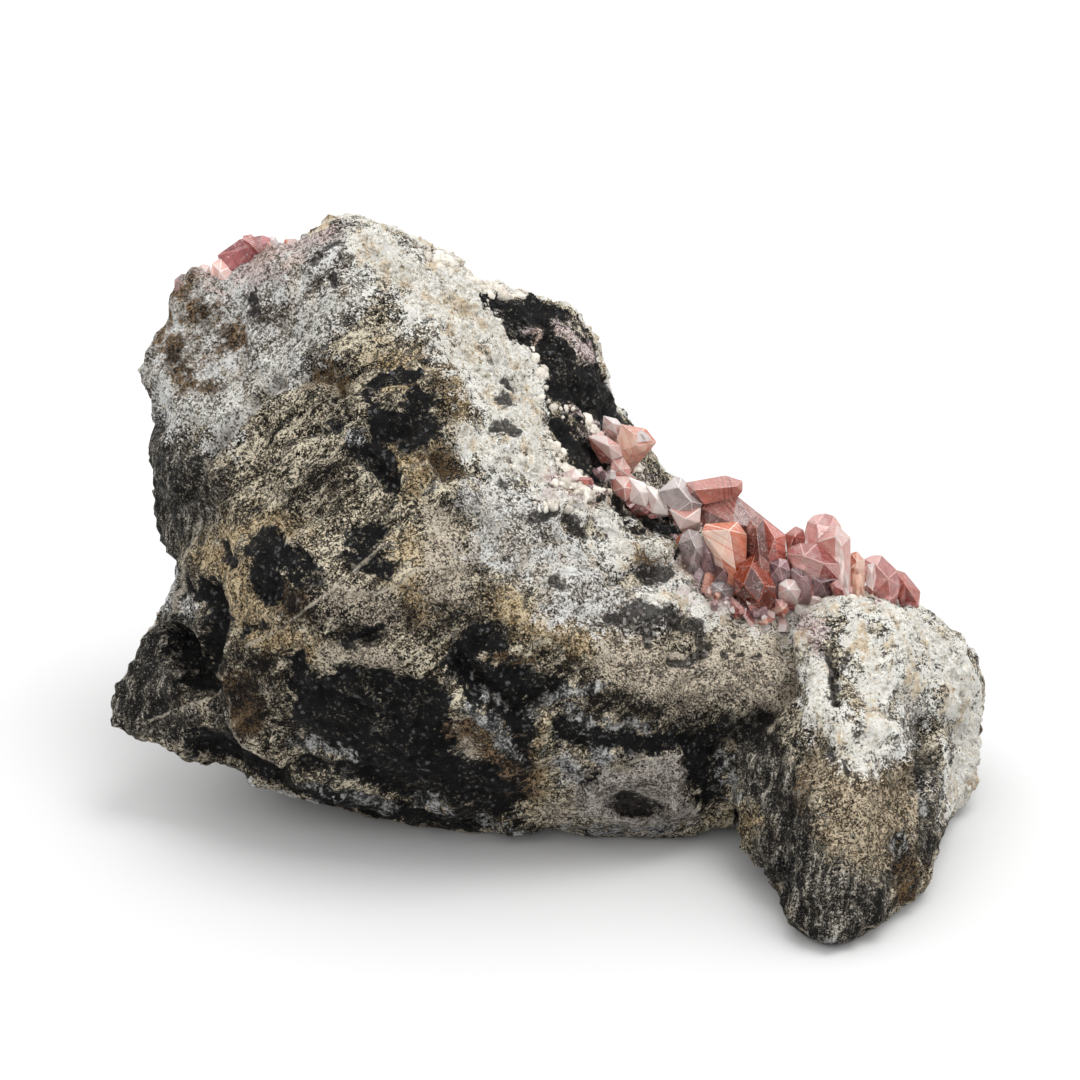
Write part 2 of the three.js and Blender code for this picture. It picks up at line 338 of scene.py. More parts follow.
@dataclass(frozen=True)
class Viewpoint:
    """Where the specimen is looked at from. Its face plane passes upright through the target."""

    distance: float = 600
    elevation: float = 25
    target: Point = (0, 0, 45)
    frame_width: float = 151.2
    sensor: float = 36

    @property
    def axes(self) -> tuple[np.ndarray, np.ndarray, np.ndarray]:
        """Right, up and forward as seen by the viewer."""
        tilt = math.radians(self.elevation)
        up = np.array([0, math.sin(tilt), math.cos(tilt)])
        forward = np.array([0, math.cos(tilt), -math.sin(tilt)])
        return np.array([1.0, 0, 0]), up, forward

    @property
    def eye(self) -> np.ndarray:
        """The viewer's place in the frame, in millimetres."""
        return np.array(self.target) + SURVEY_POINT - self.distance * self.axes[2]

    def on_face(self, places: np.ndarray) -> np.ndarray:
        """Places as seen on the face plane.

        Args:
            places: points in millimetres, one row each.

        Returns:
            Millimetres to the right of and above the target, one row each.
        """
        right, up, forward = self.axes
        offset = places - self.eye
        share = self.distance / (offset @ forward)
        return np.stack([(offset @ right) * share, (offset @ up) * share], axis=1)

    def behind_face(self, spot: Point) -> Vector:
        """The place in the frame of a spot on the face plane.

        Args:
            spot: millimetres to the right of and above the target, and how far the place stands
                in front of the face plane.

        Returns:
            The place in millimetres.
        """
        right, up, forward = self.axes
        aim = right * spot[0] + up * spot[1] + forward * self.distance
        return Vector(self.eye + aim * (1 - spot[2] / self.distance))

    def along_face(self, degrees: float) -> np.ndarray:
        """The direction on the face plane that rises to the right by an angle."""
        right, up, _ = self.axes
        return right * math.cos(math.radians(degrees)) + up * math.sin(math.radians(degrees))

    def camera(self) -> bpy.types.Object:
        """Makes the camera."""
        data = bpy.data.cameras.new("camera")
        data.sensor_width = self.sensor
        data.lens = self.sensor * self.distance / self.frame_width
        data.clip_start, data.clip_end = 0.01, 10
        camera = bpy.data.objects.new("camera", data)
        right, up, forward = self.axes
        turn = Matrix([right, up, -forward]).transposed().to_4x4()
        camera.matrix_world = Matrix.Translation(Vector(self.eye) * MM) @ turn
        bpy.context.scene.collection.objects.link(camera)
        bpy.context.scene.camera = camera
        return camera


VIEW = Viewpoint()
FOLIATION = VIEW.along_face(38)
SLAB_LINE = VIEW.along_face(-52)
FOOT_LINE = VIEW.along_face(84)


# ------------------------------------------------------------------ zones of mineral


class Mineral(Enum):
    """The minerals and stains on the host rock. Each is an attribute of its mesh."""

    SLATE = "slate"
    BARK = "bark"
    OCHRE = "ochre"
    BEIGE = "beige"
    TAN = "tan"
    PALE = "pale"
    FROST = "frost"
    CRUST = "crust"
    BLUSH = "blush"
    SHELL = "shell"
    PEPPER = "pepper"
    ORE = "ore"
    RUST = "rust"
    FLAKE = "flake"
    # Dark glassy pits; the hole's bottom is also painted with them as shade.
    PIT = "pit"
    VEIN = "vein"
    KNOB = "knob"
    DRUSE = "druse"


@dataclass(frozen=True)
class Band:
    """A band along a line on the face plane: its half width, and the line's corners."""

    reach: float
    line: tuple[Spot, ...]

    def depth(self, spots: np.ndarray) -> np.ndarray:
        """How deep spots lie inside the band, in millimetres, below 0 outside it."""
        corners = np.array(self.line, float)
        nearest = np.full(len(spots), np.inf)
        for start, end in zip(corners[:-1], corners[1:]):
            step = end - start
            share = np.clip((spots - start) @ step / (step @ step), 0, 1)
            gap = np.linalg.norm(spots - start - share[:, None] * step, axis=1)
            nearest = np.minimum(nearest, gap)
        return self.reach - nearest


def bands(*rows: Sequence) -> tuple[Band, ...]:
    """Bands of rows that each hold a half width, and then the line's corners."""
    return tuple(Band(reach, tuple(corners)) for reach, *corners in rows)


# Each row is a band: its half width, and its line's corners in millimetres to the right of and
# above the middle of the face plane.
ZONES: dict[Mineral, tuple[Band, ...]] = {
    Mineral.SLATE: bands(
        (3.6, (-53, 15), (-50.5, 9), (-50, 2), (-51, -4)),
        (2.6, (-47.5, 12), (-47.5, 6), (-48.5, 0)),
        (2.8, (-51, -6), (-54, -14), (-57, -21), (-58.5, -25)), (2.2, (-57, -26), (-50, -25.5)),
        (4, (-52, -12), (-53.5, -18), (-55, -23)), (2, (-44, -21), (-43, -26)),
        (3.8, (29, -27), (31.5, -31), (33, -37), (33.5, -45)), (2.4, (36.5, -34), (37, -44)),
        (5, (37, -47), (44, -50), (41.5, -54)), (2, (47, -48.5), (50, -46)),
        (2.4, (38, -54), (41, -56), (45, -53)), (1.2, (51.8, -25), (52.4, -29), (52.5, -34)),
        (1.5, (54, -32), (54.6, -37), (54, -43))),
    Mineral.BARK: bands(
        (1.4, (-33, 22.5), (-30, 24.5), (-28.5, 22.5)), (1.5, (-15.5, 13), (-12.5, 11), (-12, 9.5)),
        (1.2, (-21.5, 14), (-19.5, 13.5)), (2.2, (-36, -8.5), (-34, -9)),
        (1.2, (-41.5, -25), (-39.5, -25)), (1.6, (-6, -16.5), (-2, -18)),
        (0.9, (38.2, -31), (37.4, -35.5)), (1.5, (50.5, -44), (51.8, -47), (51.5, -49.5)),
        (2, (-42, -20), (-40, -24))),
    Mineral.OCHRE: bands(
        (1.7, (-19, 11.3), (-16, 12), (-17.5, 9)), (1.2, (-22.5, 24.8), (-17, 26), (-15, 24.5)),
        (0.8, (-20.5, 21), (-18, 22)), (1.6, (-15.5, 27), (-12.5, 22.5), (-11, 18.5)),
        (2.6, (-44.5, -2.5), (-42.5, -7), (-41.5, -10)), (1.3, (-45, 0), (-40, 1.6), (-35, 1.8)),
        (1.2, (-41, -12.5), (-34, -13.5), (-33, -16)), (1.6, (-21, -3.5), (-18, -1)),
        (2.2, (-19, -7.5), (-17, -9)), (2.6, (-5, -8.5), (-2.5, -11), (3, -12.5), (9, -14.5)),
        (0.7, (36, -17.5), (39, -22), (41, -25.5), (43, -26.5)),
        (0.7, (46.5, -13.5), (45.3, -20), (43.5, -26.5)), (0.6, (-25.3, 42.3), (-23.5, 42)),
        (0.9, (-36.5, 38.6), (-33.8, 39)), (0.6, (0.7, -26), (-1, -30), (0, -33), (0, -36.5)),
        (1, (26, -38.5), (29, -39.5))),
    Mineral.BEIGE: bands(
        (4, (12, -16), (17, -19), (20, -21)), (3.6, (24, -10.5), (31, -12), (31, -19), (26, -19)),
        (2.6, (-28, -9), (-22, -10)), (1.5, (-28, -16.3), (-22.5, -16.8)),
        (2, (-12.5, -28.5), (-10.5, -30)), (1.6, (2.5, -38), (5.5, -36.2)),
        (1, (-15, -35), (-15.6, -38.4)), (2.2, (-14, 2), (-12, -5), (-14, -7))),
    Mineral.TAN: bands(
        (2.6, (40.5, -31), (42, -37), (42, -41.5)), (3.4, (44.5, -33), (47.5, -38), (46, -43)),
        (2, (49.5, -31), (50, -40))),
    Mineral.PALE: bands(
        (3.2, (-51.5, 33), (-52.5, 27), (-52.5, 21)), (4, (-47, 34), (-47.5, 26), (-48, 19)),
        (3.5, (-43, 35.5), (-42.5, 25), (-44.5, 16)), (3.7, (-38, 37), (-37.5, 24.5)),
        (3.5, (-33, 40), (-33, 30.5)), (3.2, (-28, 42), (-27.5, 34.5)),
        (3.6, (-6, -1), (0, -3), (6, -4.5)), (3.2, (3, -8), (10, -9.5), (17, -8.5)),
        (1, (3, -30.5), (5, -33)), (2.8, (-8, 5), (-2, 5), (0, 1)),
        (2, (50, -16), (53, -22), (49.5, -29)), (1.4, (-52.3, -6.8), (-50, -7.6))),
    Mineral.FROST: bands(
        (2, (-48.5, 18.8), (-45.5, 15.5), (-43.5, 19)), (2, (-38, 22), (-36, 25.5), (-32, 28)),
        (1.8, (-31, 30.5), (-28.5, 33.5), (-24, 37)),
        (2, (-18, 33), (-14.5, 28.5), (-10, 24), (-7.5, 20)),
        (1.6, (-6.5, 15), (-5, 9), (-7.5, 5), (-7.5, 1)), (1.6, (-3, -1.5), (-1.5, -4), (2, -6)),
        (1.8, (51.5, -17), (54, -23))),
    Mineral.CRUST: bands(
        (3.4, (-24, 41), (-18, 37), (-15, 32)), (3.4, (-21, 38), (-14, 34), (-11, 29)),
        (3.6, (-12, 37), (-8, 31), (-3.5, 25.5)), (3.6, (-11, 27), (-6, 21), (-3, 15)),
        (2.4, (-2.5, 22), (-1.6, 15), (0.5, 10)), (2.6, (-9.5, 14.5), (-5, 11), (0, 9)),
        (2, (3, 6), (8, 4), (12, 0)), (2, (10, -1.5), (17, -1.5), (21, -7)),
        (1.6, (14, -8), (24, -9.5), (31, -10.5)),
        (2.4, (36, -9.5), (42, -8), (48, -9.5), (55, -13.5)),
        (2.2, (36.5, -13), (38.5, -20), (41.5, -27), (45, -31)),
        (2.6, (45, -14), (47.5, -20), (46.5, -29)),
        (2.8, (55, -14), (58.5, -21), (60, -28), (58.5, -36)), (2.2, (50, -15), (54, -20))),
    Mineral.BLUSH: bands(
        (1.3, (-45.5, 39.5), (-45, 35.3)), (1.7, (-42, 38), (-38, 38.5), (-34, 42), (-30, 43.6)),
        (1.2, (-49.6, 37), (-46, 37)), (1.1, (2.6, 29.6), (4.5, 29), (7.3, 25.5)),
        (0.7, (-2.2, 29.6), (-0.4, 28.4)), (0.8, (5, 19), (8, 15.2)),
        (1.6, (2.3, 8), (5, 7.5), (7.5, 6.3)), (1.5, (10, 9), (14, 7), (20, 3)),
        (1.8, (20, -4), (25, -7.5), (33, -9.5)), (1.2, (37, -11), (39, -15))),
    Mineral.SHELL: bands(
        (2.8, (8, -36), (12, -34.5), (17.5, -35)), (2, (16, -32.5), (20.5, -33.5)),
        (1.6, (6, -37.5), (8, -38.5), (14, -40), (20, -38.5))),
    Mineral.PEPPER: bands(
        (2.6, (-22, -9), (-16, -10.5), (-11, -11.5)), (2, (-8, -5), (-7, -9), (-8, -12)),
        (2, (-4, -14), (0, -15), (5, -18)), (2.2, (4, -22.5), (12, -23.5), (19, -24)),
        (2.4, (17, -25.5), (22, -26), (28, -26.5)), (1, (17, -22), (25, -22.5), (30, -22)),
        (3, (-43, -17), (-38, -22), (-36.5, -27)), (2, (-28, 20), (-26, 14), (-28, 8)),
        (2.4, (-14, 20.5), (-12, 15)), (1.6, (-50.5, 27), (-48.5, 24)), (2, (31, -25), (36, -30)),
        (1.6, (-7, 2), (-10, 4), (-13, 5)), (3.2, (-33, -8), (-28, -12), (-24, -12)),
        (2.4, (-34, 4), (-30, 8), (-27, 9))),
    Mineral.ORE: bands(
        # The glossy black ore of the front face, from the top down.
        (1.5, (-24, 21), (-21.5, 22.8), (-17, 23.6)), (0.8, (-24.3, 20), (-23, 19)),
        (2.3, (-22.5, 16.2), (-19, 17.3), (-16.8, 18.8), (-16, 16), (-18, 14.5)),
        (2.2, (-23.8, 12), (-22, 10.5), (-20.8, 8.8)), (0.6, (-31, 15), (-27.5, 15.6)),
        (2.2, (-38.2, -0.5), (-38.8, -4.5), (-38.4, -6.6)), (2.4, (-36.8, -1.8), (-33, -4.6)),
        (1.5, (-26, 0), (-23, 1)), (1.7, (-25.8, -2.2), (-21.6, -3.6)),
        (0.7, (-43.8, -0.8), (-43.6, -3)), (0.6, (-41.8, -13), (-39, -11.6)),
        (0.9, (-27.6, -14), (-22.4, -13)), (1.6, (-34.6, -17), (-33.2, -19.5)),
        (2.5, (-33.2, -20.5), (-31, -26.5)), (1.3, (-26.5, -18.6), (-21.5, -19.4)),
        (3.3, (-30, -22), (-21, -22.5), (-15.5, -23)),
        (3.9, (-29, -26.5), (-20, -27.5), (-15.5, -27.5)),
        (3, (-25, -31), (-19, -32.5), (-13, -33), (-8, -34.2), (-4.5, -35)),
        (1.5, (-19, -35.6), (-11, -36.8), (-5, -37.4)), (1, (-33, -31.2), (-26, -33)),
        (1.5, (-42, -33), (-34, -35.4), (-26, -37.4), (-16, -39.2), (-8, -40)),
        (2.2, (-11.4, -17), (-9, -14.5), (-6.5, -13.8)),
        (2.3, (-10.5, -17.8), (-6.5, -21), (-3, -24.5)),
        (2.5, (-5, -19), (-1.5, -20), (1.2, -21.4)), (1.9, (-6, -24.5), (-2.6, -28), (-3, -32.5)),
        (1.8, (3, -26.4), (8, -28), (13, -28.2)), (1.6, (15, -28.8), (20, -28.2), (25, -28)),
        (2.2, (22.5, -31), (24.5, -30), (23, -33.5)), (1.3, (25.6, -34.5), (23, -36.8)),
        (0.7, (6, -34), (8, -33)), (2.4, (-47.5, -28.5), (-43, -30.4), (-38, -33)),
        (1.9, (-46.8, -7), (-45.6, -11.5), (-47, -16.5)),
        (1.8, (-51, -13.5), (-49.5, -19), (-46.5, -20.5)), (0.8, (33.8, -45.5), (34.3, -49)),
        (1, (18, 0.6), (19.5, -3), (20.5, -4.6)),
        # The black slabs beyond the crest.
        (3.4, (-1, 30.4), (3.4, 27.4), (6, 23), (7.4, 19)), (2.4, (8.8, 20), (10.6, 15)),
        (1.2, (-7.4, 33.4), (-4, 33), (0, 31.8), (3.2, 31.4)),
        (1.6, (-4.8, 31.4), (-2, 30.5), (0.6, 30)), (1, (-3.8, 29.4), (-1, 28.4), (0.6, 27.4)),
        (1.3, (1.8, 26.3), (5.6, 26.3), (7.2, 24.4)), (1.8, (2, 24), (5.2, 23.4)),
        (1.4, (2, 21.6), (5.6, 20.6), (7.4, 18.4)), (1.4, (7.2, 21), (9, 17.6), (10.2, 15.4)),
        (1.5, (3, 16), (4.6, 14), (6.4, 12), (8.2, 10), (9.4, 8.4)),
        (1.3, (9.2, 6.8), (14, 3.5), (18, 1), (21, 0.4))),
    Mineral.RUST: bands(
        (1.5, (-52, 28), (-50, 24.5), (-48.6, 23.6)), (1, (-50, 32.6), (-47, 31.4)),
        (0.5, (-44.2, 29), (-43.6, 27)), (0.9, (-10.4, -26), (-7, -28.6), (-4, -31.2), (-3, -33)),
        (0.9, (14, -2.4), (16.6, -3.2)), (0.6, (-16, 11), (-14.6, 10.6))),
    Mineral.FLAKE: bands(
        (0.35, (-9, -20), (-6, -22), (-4, -24.6)),
        (1.1, (-9.4, -23.6), (-7, -26), (-4.6, -29), (-3.2, -30.6)),
        (0.9, (-1.4, -24.4), (1, -22.6), (4, -21.2), (8, -20.6)), (0.9, (4, -24), (6.5, -26.8)),
        (1, (10, -25.8), (15, -26.4)), (1.1, (2.6, -31), (5, -33)), (0.9, (8, -29.6), (9.2, -31)),
        (0.6, (26, -29.8), (26, -31.4)), (0.7, (26.4, -33), (27.4, -36.4)),
        (0.8, (-34, -28.6), (-31, -29), (-27, -30.6)),
        (0.5, (-33, -34.8), (-27, -36.6), (-21, -38)), (0.4, (-18, -36.6), (-13, -38.2)),
        (0.5, (53.3, -36.8), (54, -37.4)), (0.5, (50.6, -42), (50.2, -44)),
        (0.4, (38.6, -56.2), (41.6, -55.6)), (0.4, (-15.4, 7.6), (-14, 8.6)),
        (0.4, (-26.4, 15), (-25, 13)),
        (0.4, (-8.5, -39.9), (-4, -40.8), (2, -40.9), (6, -40.2), (14, -41), (19, -40))),
    Mineral.PIT: bands(
        (2, (13.4, -10.4), (14.8, -11)), (0.9, (9.8, -11), (10.6, -11.4)),
        (0.8, (17.2, -10.4), (18.4, -10.8)),
        (0.8, (18, -12), (22, -12), (23.4, -15), (21, -17.4), (18.6, -17)),
        (0.8, (15.2, -13), (15.4, -14)), (1.3, (14.6, -4.4), (17.2, -4.8)),
        (0.8, (-0.8, 3), (1.8, 3.8)), (0.7, (3.8, 3), (4.8, 1.8)), (0.5, (5, 1.2), (6.6, 0.4)),
        (0.9, (-4.9, 21.6), (-4, 21.3)), (0.9, (-5.6, 19.6), (-4.9, 19)),
        (1, (-5.8, 15.9), (-4.2, 15.2)), (0.5, (-5.6, 8), (-5, 7.4)),
        (0.4, (-5, -2.2), (-4.8, -2.6)), (0.7, (2, -5.4), (2.8, -6.6)),
        (0.5, (-30, 41), (-27.6, 42)), (0.5, (-28, 40), (-27.6, 39.6)),
        (0.5, (-29.2, 37), (-29, 36)), (0.6, (-32, 39), (-31, 40)), (0.7, (-40.6, 34), (-40, 31.8)),
        (0.6, (-50.4, 36.4), (-48, 36)), (0.4, (27, -13.2), (27.2, -13.3)),
        (0.5, (28, -16), (28.4, -16)), (0.5, (30.2, -16.5), (30.8, -16.3)),
        (0.4, (25.6, -16.4), (25.8, -16.6)), (0.7, (40.6, -16.4), (41, -19), (41.5, -23)),
        (0.4, (43, -16), (42.6, -18)), (0.5, (40, -29), (41, -30.5)),
        (0.4, (42.6, -31.4), (43, -33))),
    Mineral.VEIN: bands(
        (0.15, (-31, -8.5), (-27, -5), (-24.5, -2.5), (-22, -1), (-20.8, -0.3)),
        (0.2, (-41, -15), (-36, -12), (-31, -8.5)),
        (0.2, (-27, -7.4), (-23, -7.8), (-20, -6.3), (-17.5, -4.3), (-13.5, -3.7)),
        (0.15, (-13.5, -3.7), (-10, -3.6), (-7, -2.8), (-5, -1.9), (-2, -1), (3, -0.2)),
        (0.2, (-46.4, -19), (-45.4, -21.6), (-47, -22.6), (-52, -24.2), (-56, -26)),
        (0.12, (-43.2, -20), (-42, -25), (-41.2, -28.2), (-37, -30.6)),
        (0.08, (-47.4, 4), (-48.2, -2), (-48.8, -7), (-50, -10.4), (-54, -14), (-57.6, -20)),
        (0.2, (10.4, -32), (14, -31), (19, -30.3)),
        (0.15, (-33.8, 23), (-33, 21.5), (-31, 21), (-29, 19), (-27, 17))),
    Mineral.KNOB: bands(
        (1.1, (-15, 39.8), (-12, 38), (-9, 36), (-5, 35.4), (-2.5, 34)),
        (0.7, (-8, 34), (-6, 30), (-3, 27.5), (0, 25.6), (0.3, 21)),
        (0.8, (0.5, 20), (2.5, 18.4), (6, 17), (8, 14.8)),
        (0.8, (1.4, 15.6), (3, 12), (5, 9), (7.6, 8)), (1.3, (2.4, 8), (7, 6.6)),
        (0.9, (0, 5), (8, 4.4)), (0.5, (36, -10), (41, -7.6), (46, -8.6)),
        (0.8, (11.5, 22), (13, 17), (12.5, 14)), (0.8, (13, 11), (16, 7.5))),
    Mineral.DRUSE: bands(
        (1.6, (10, 9.5), (13, 6.6), (18, 3.6), (21.5, 2.6)),
        (1.5, (20, 0), (22.5, -4), (25.5, -8.4), (28, -9.4)),
        (1.3, (27, -9.6), (32, -10.6), (35.6, -8.8), (39, -7.2), (43, -6.6)),
        (1.3, (43, -6.6), (47, -7), (50.5, -8), (53.4, -8.6)),
        (1.2, (8, 14), (10.5, 11), (12.5, 9)), (1.2, (22, 4), (24, 2.6), (28, 1.4)),
        (1, (-45.4, 39.6), (-44.8, 36.4)), (0.8, (-50, 36), (-46.6, 36.8)),
        (0.6, (-41, 38.6), (-37.5, 39.4), (-34, 42)), (0.6, (3.4, 8.6), (7.4, 6.8))),
}
# Folds and hollows of the face: each row is a height in millimetres, and then a band as above.
FOLDS: tuple[tuple[float, Band], ...] = tuple((height, *bands(row)) for height, *row in (
    (1.4, 2, (-47, 5), (-44.5, 10.5), (-40, 16), (-36, 19.5)),
    (-1.2, 1.6, (-49, 6), (-46.5, 12), (-42, 18), (-37, 22)),
    (-1.4, 1.8, (-33.5, 22.5), (-30.5, 24), (-28, 21)),
    (1.3, 1.3, (-48.3, 2), (-48.9, -6), (-50.4, -10.6), (-54.2, -14.6), (-58, -21)),
    (-3, 3.2, (-51, -14), (-49.5, -18), (-48, -20.5)),
    (-2.6, 2.2, (-46.6, -7), (-45.8, -12), (-46.6, -17)),
    (1.5, 1.3, (-43.4, -19), (-42, -25), (-40.8, -28.6), (-36, -30.8)),
    (-2, 3, (-47, -29.4), (-42, -31.4), (-37, -34)), (-2.2, 3.2, (-22, 15.4), (-17.4, 17)),
    (-1.4, 2.2, (-23.5, 12), (-21.5, 9)), (-1.8, 1.7, (-15, 12.6), (-12.6, 10.4)),
    (0.8, 1.2, (-9.4, -23), (-3.4, -30)), (-1.6, 1.8, (-11, -17.6), (-3, -24.6), (1.4, -21.6)),
    (-1.6, 2, (34.6, -12), (34.6, -18), (33, -23), (29, -26.6), (25, -30)),
    (0.9, 1.1, (36.6, -33), (37, -44)), (0.9, 1.2, (45, -34), (45.6, -46)),
    (1, 1.2, (55.2, -20), (55.8, -30), (54.8, -38)), (-1.2, 1.1, (53.4, -26), (53.8, -40)),
    (-1.2, 0.9, (41, -16), (41.6, -23)), (-1, 1.6, (50, -42), (51, -48)),
    (0.8, 1, (7, -35.6), (10, -33.6), (14, -33), (18.6, -35), (19, -38)),
    (0.7, 1.4, (16, -12), (20, -10.4), (24.6, -12.4), (24.6, -17.6), (19, -19)),
    (-0.8, 1.6, (-30, -22), (-20, -26)), (0.8, 1.6, (-16, 28), (-12, 22), (-10, 18)),
    (-0.9, 2, (5, 22), (8, 18)), (0.7, 1.4, (10, -1), (17, -1.4), (20, -6)),
    (1.1, 1.2, (9.2, 6.8), (14, 3.5), (18, 1), (21, 0.4)),
    (0.9, 1.3, (3, 16), (4.6, 14), (6.4, 12), (8.2, 10), (9.4, 8.4)),
    (2.4, 5.5, (-52, 12), (-51.5, 6), (-52, 1)), (2.2, 3.4, (-46, 34.5), (-41.5, 37), (-37, 39.5)),
    (2.2, 3, (-50.5, 33), (-48, 35)),
))
# How far from a zone's outline, in millimetres, its depths are still told apart.
REACH = 8.0
# The hole near the hem: its middle, its half width and half height, and its depth.
HOLE_AT: Spot = (13.0, -37.0)
HOLE_SIZE: Spot = (3.9, 2.0)
HOLE_DEPTH = 4.5
FACET_SEED = 7


def lumps(places: np.ndarray, size: float, octaves: int = 3, shift: float = 0) -> np.ndarray:
    """Smooth noise from about -1 to 1.

    Args:
        places: points in millimetres, one row each.
        size: width of a lump in millimetres.
        octaves: layers of ever finer noise.
        shift: moves the pattern, so that two of one size differ.

    Returns:
        The noise at each point.
    """
    spots = (places / size + shift).tolist()
    return np.array([noise.fractal(spot, 1.0, 2.0, octaves) for spot in spots])


def facets(places: np.ndarray, size: float) -> np.ndarray:
    """Relief of flat broken facets, each tilted its own way.

    Args:
        places: points in millimetres, one row each.
        size: width of a facet in millimetres.

    Returns:
        Height of each point over the middle of its facet, in facet widths.
    """
    noise.seed_set(FACET_SEED)
    heights = []
    for spot in (places / size).tolist():
        middle = noise.voronoi(spot)[1][0]
        tilt = noise.noise_vector(middle * 3.7)
        heights.append((Vector(spot) - middle).dot(tilt))
    return np.array(heights)


def along(places: np.ndarray, direction: np.ndarray, stretch: float) -> np.ndarray:
    """Places squeezed along a direction, so that noise on them runs along it."""
    return places + np.outer(places @ direction, direction * (1 / stretch - 1))


def smoothed(values: np.ndarray, edges: np.ndarray, rounds: int) -> np.ndarray:
    """Values of a mesh's points, each drawn halfway to its neighbours' mean again and again.

    Args:
        values: one row for each point.
        edges: the two points of each edge.
        rounds: how many times.

    Returns:
        The smoothed values.
    """
    ends = np.concatenate([edges, edges[:, ::-1]])
    count = np.bincount(ends[:, 0], minlength=len(values))
    for _ in range(rounds):
        sums = [np.bincount(ends[:, 0], weights=column[ends[:, 1]], minlength=len(values))
                for column in values.T]
        values = (values + np.stack(sums, axis=1) / count[:, None]) / 2
    return values


# ------------------------------------------------------------------ the host rock


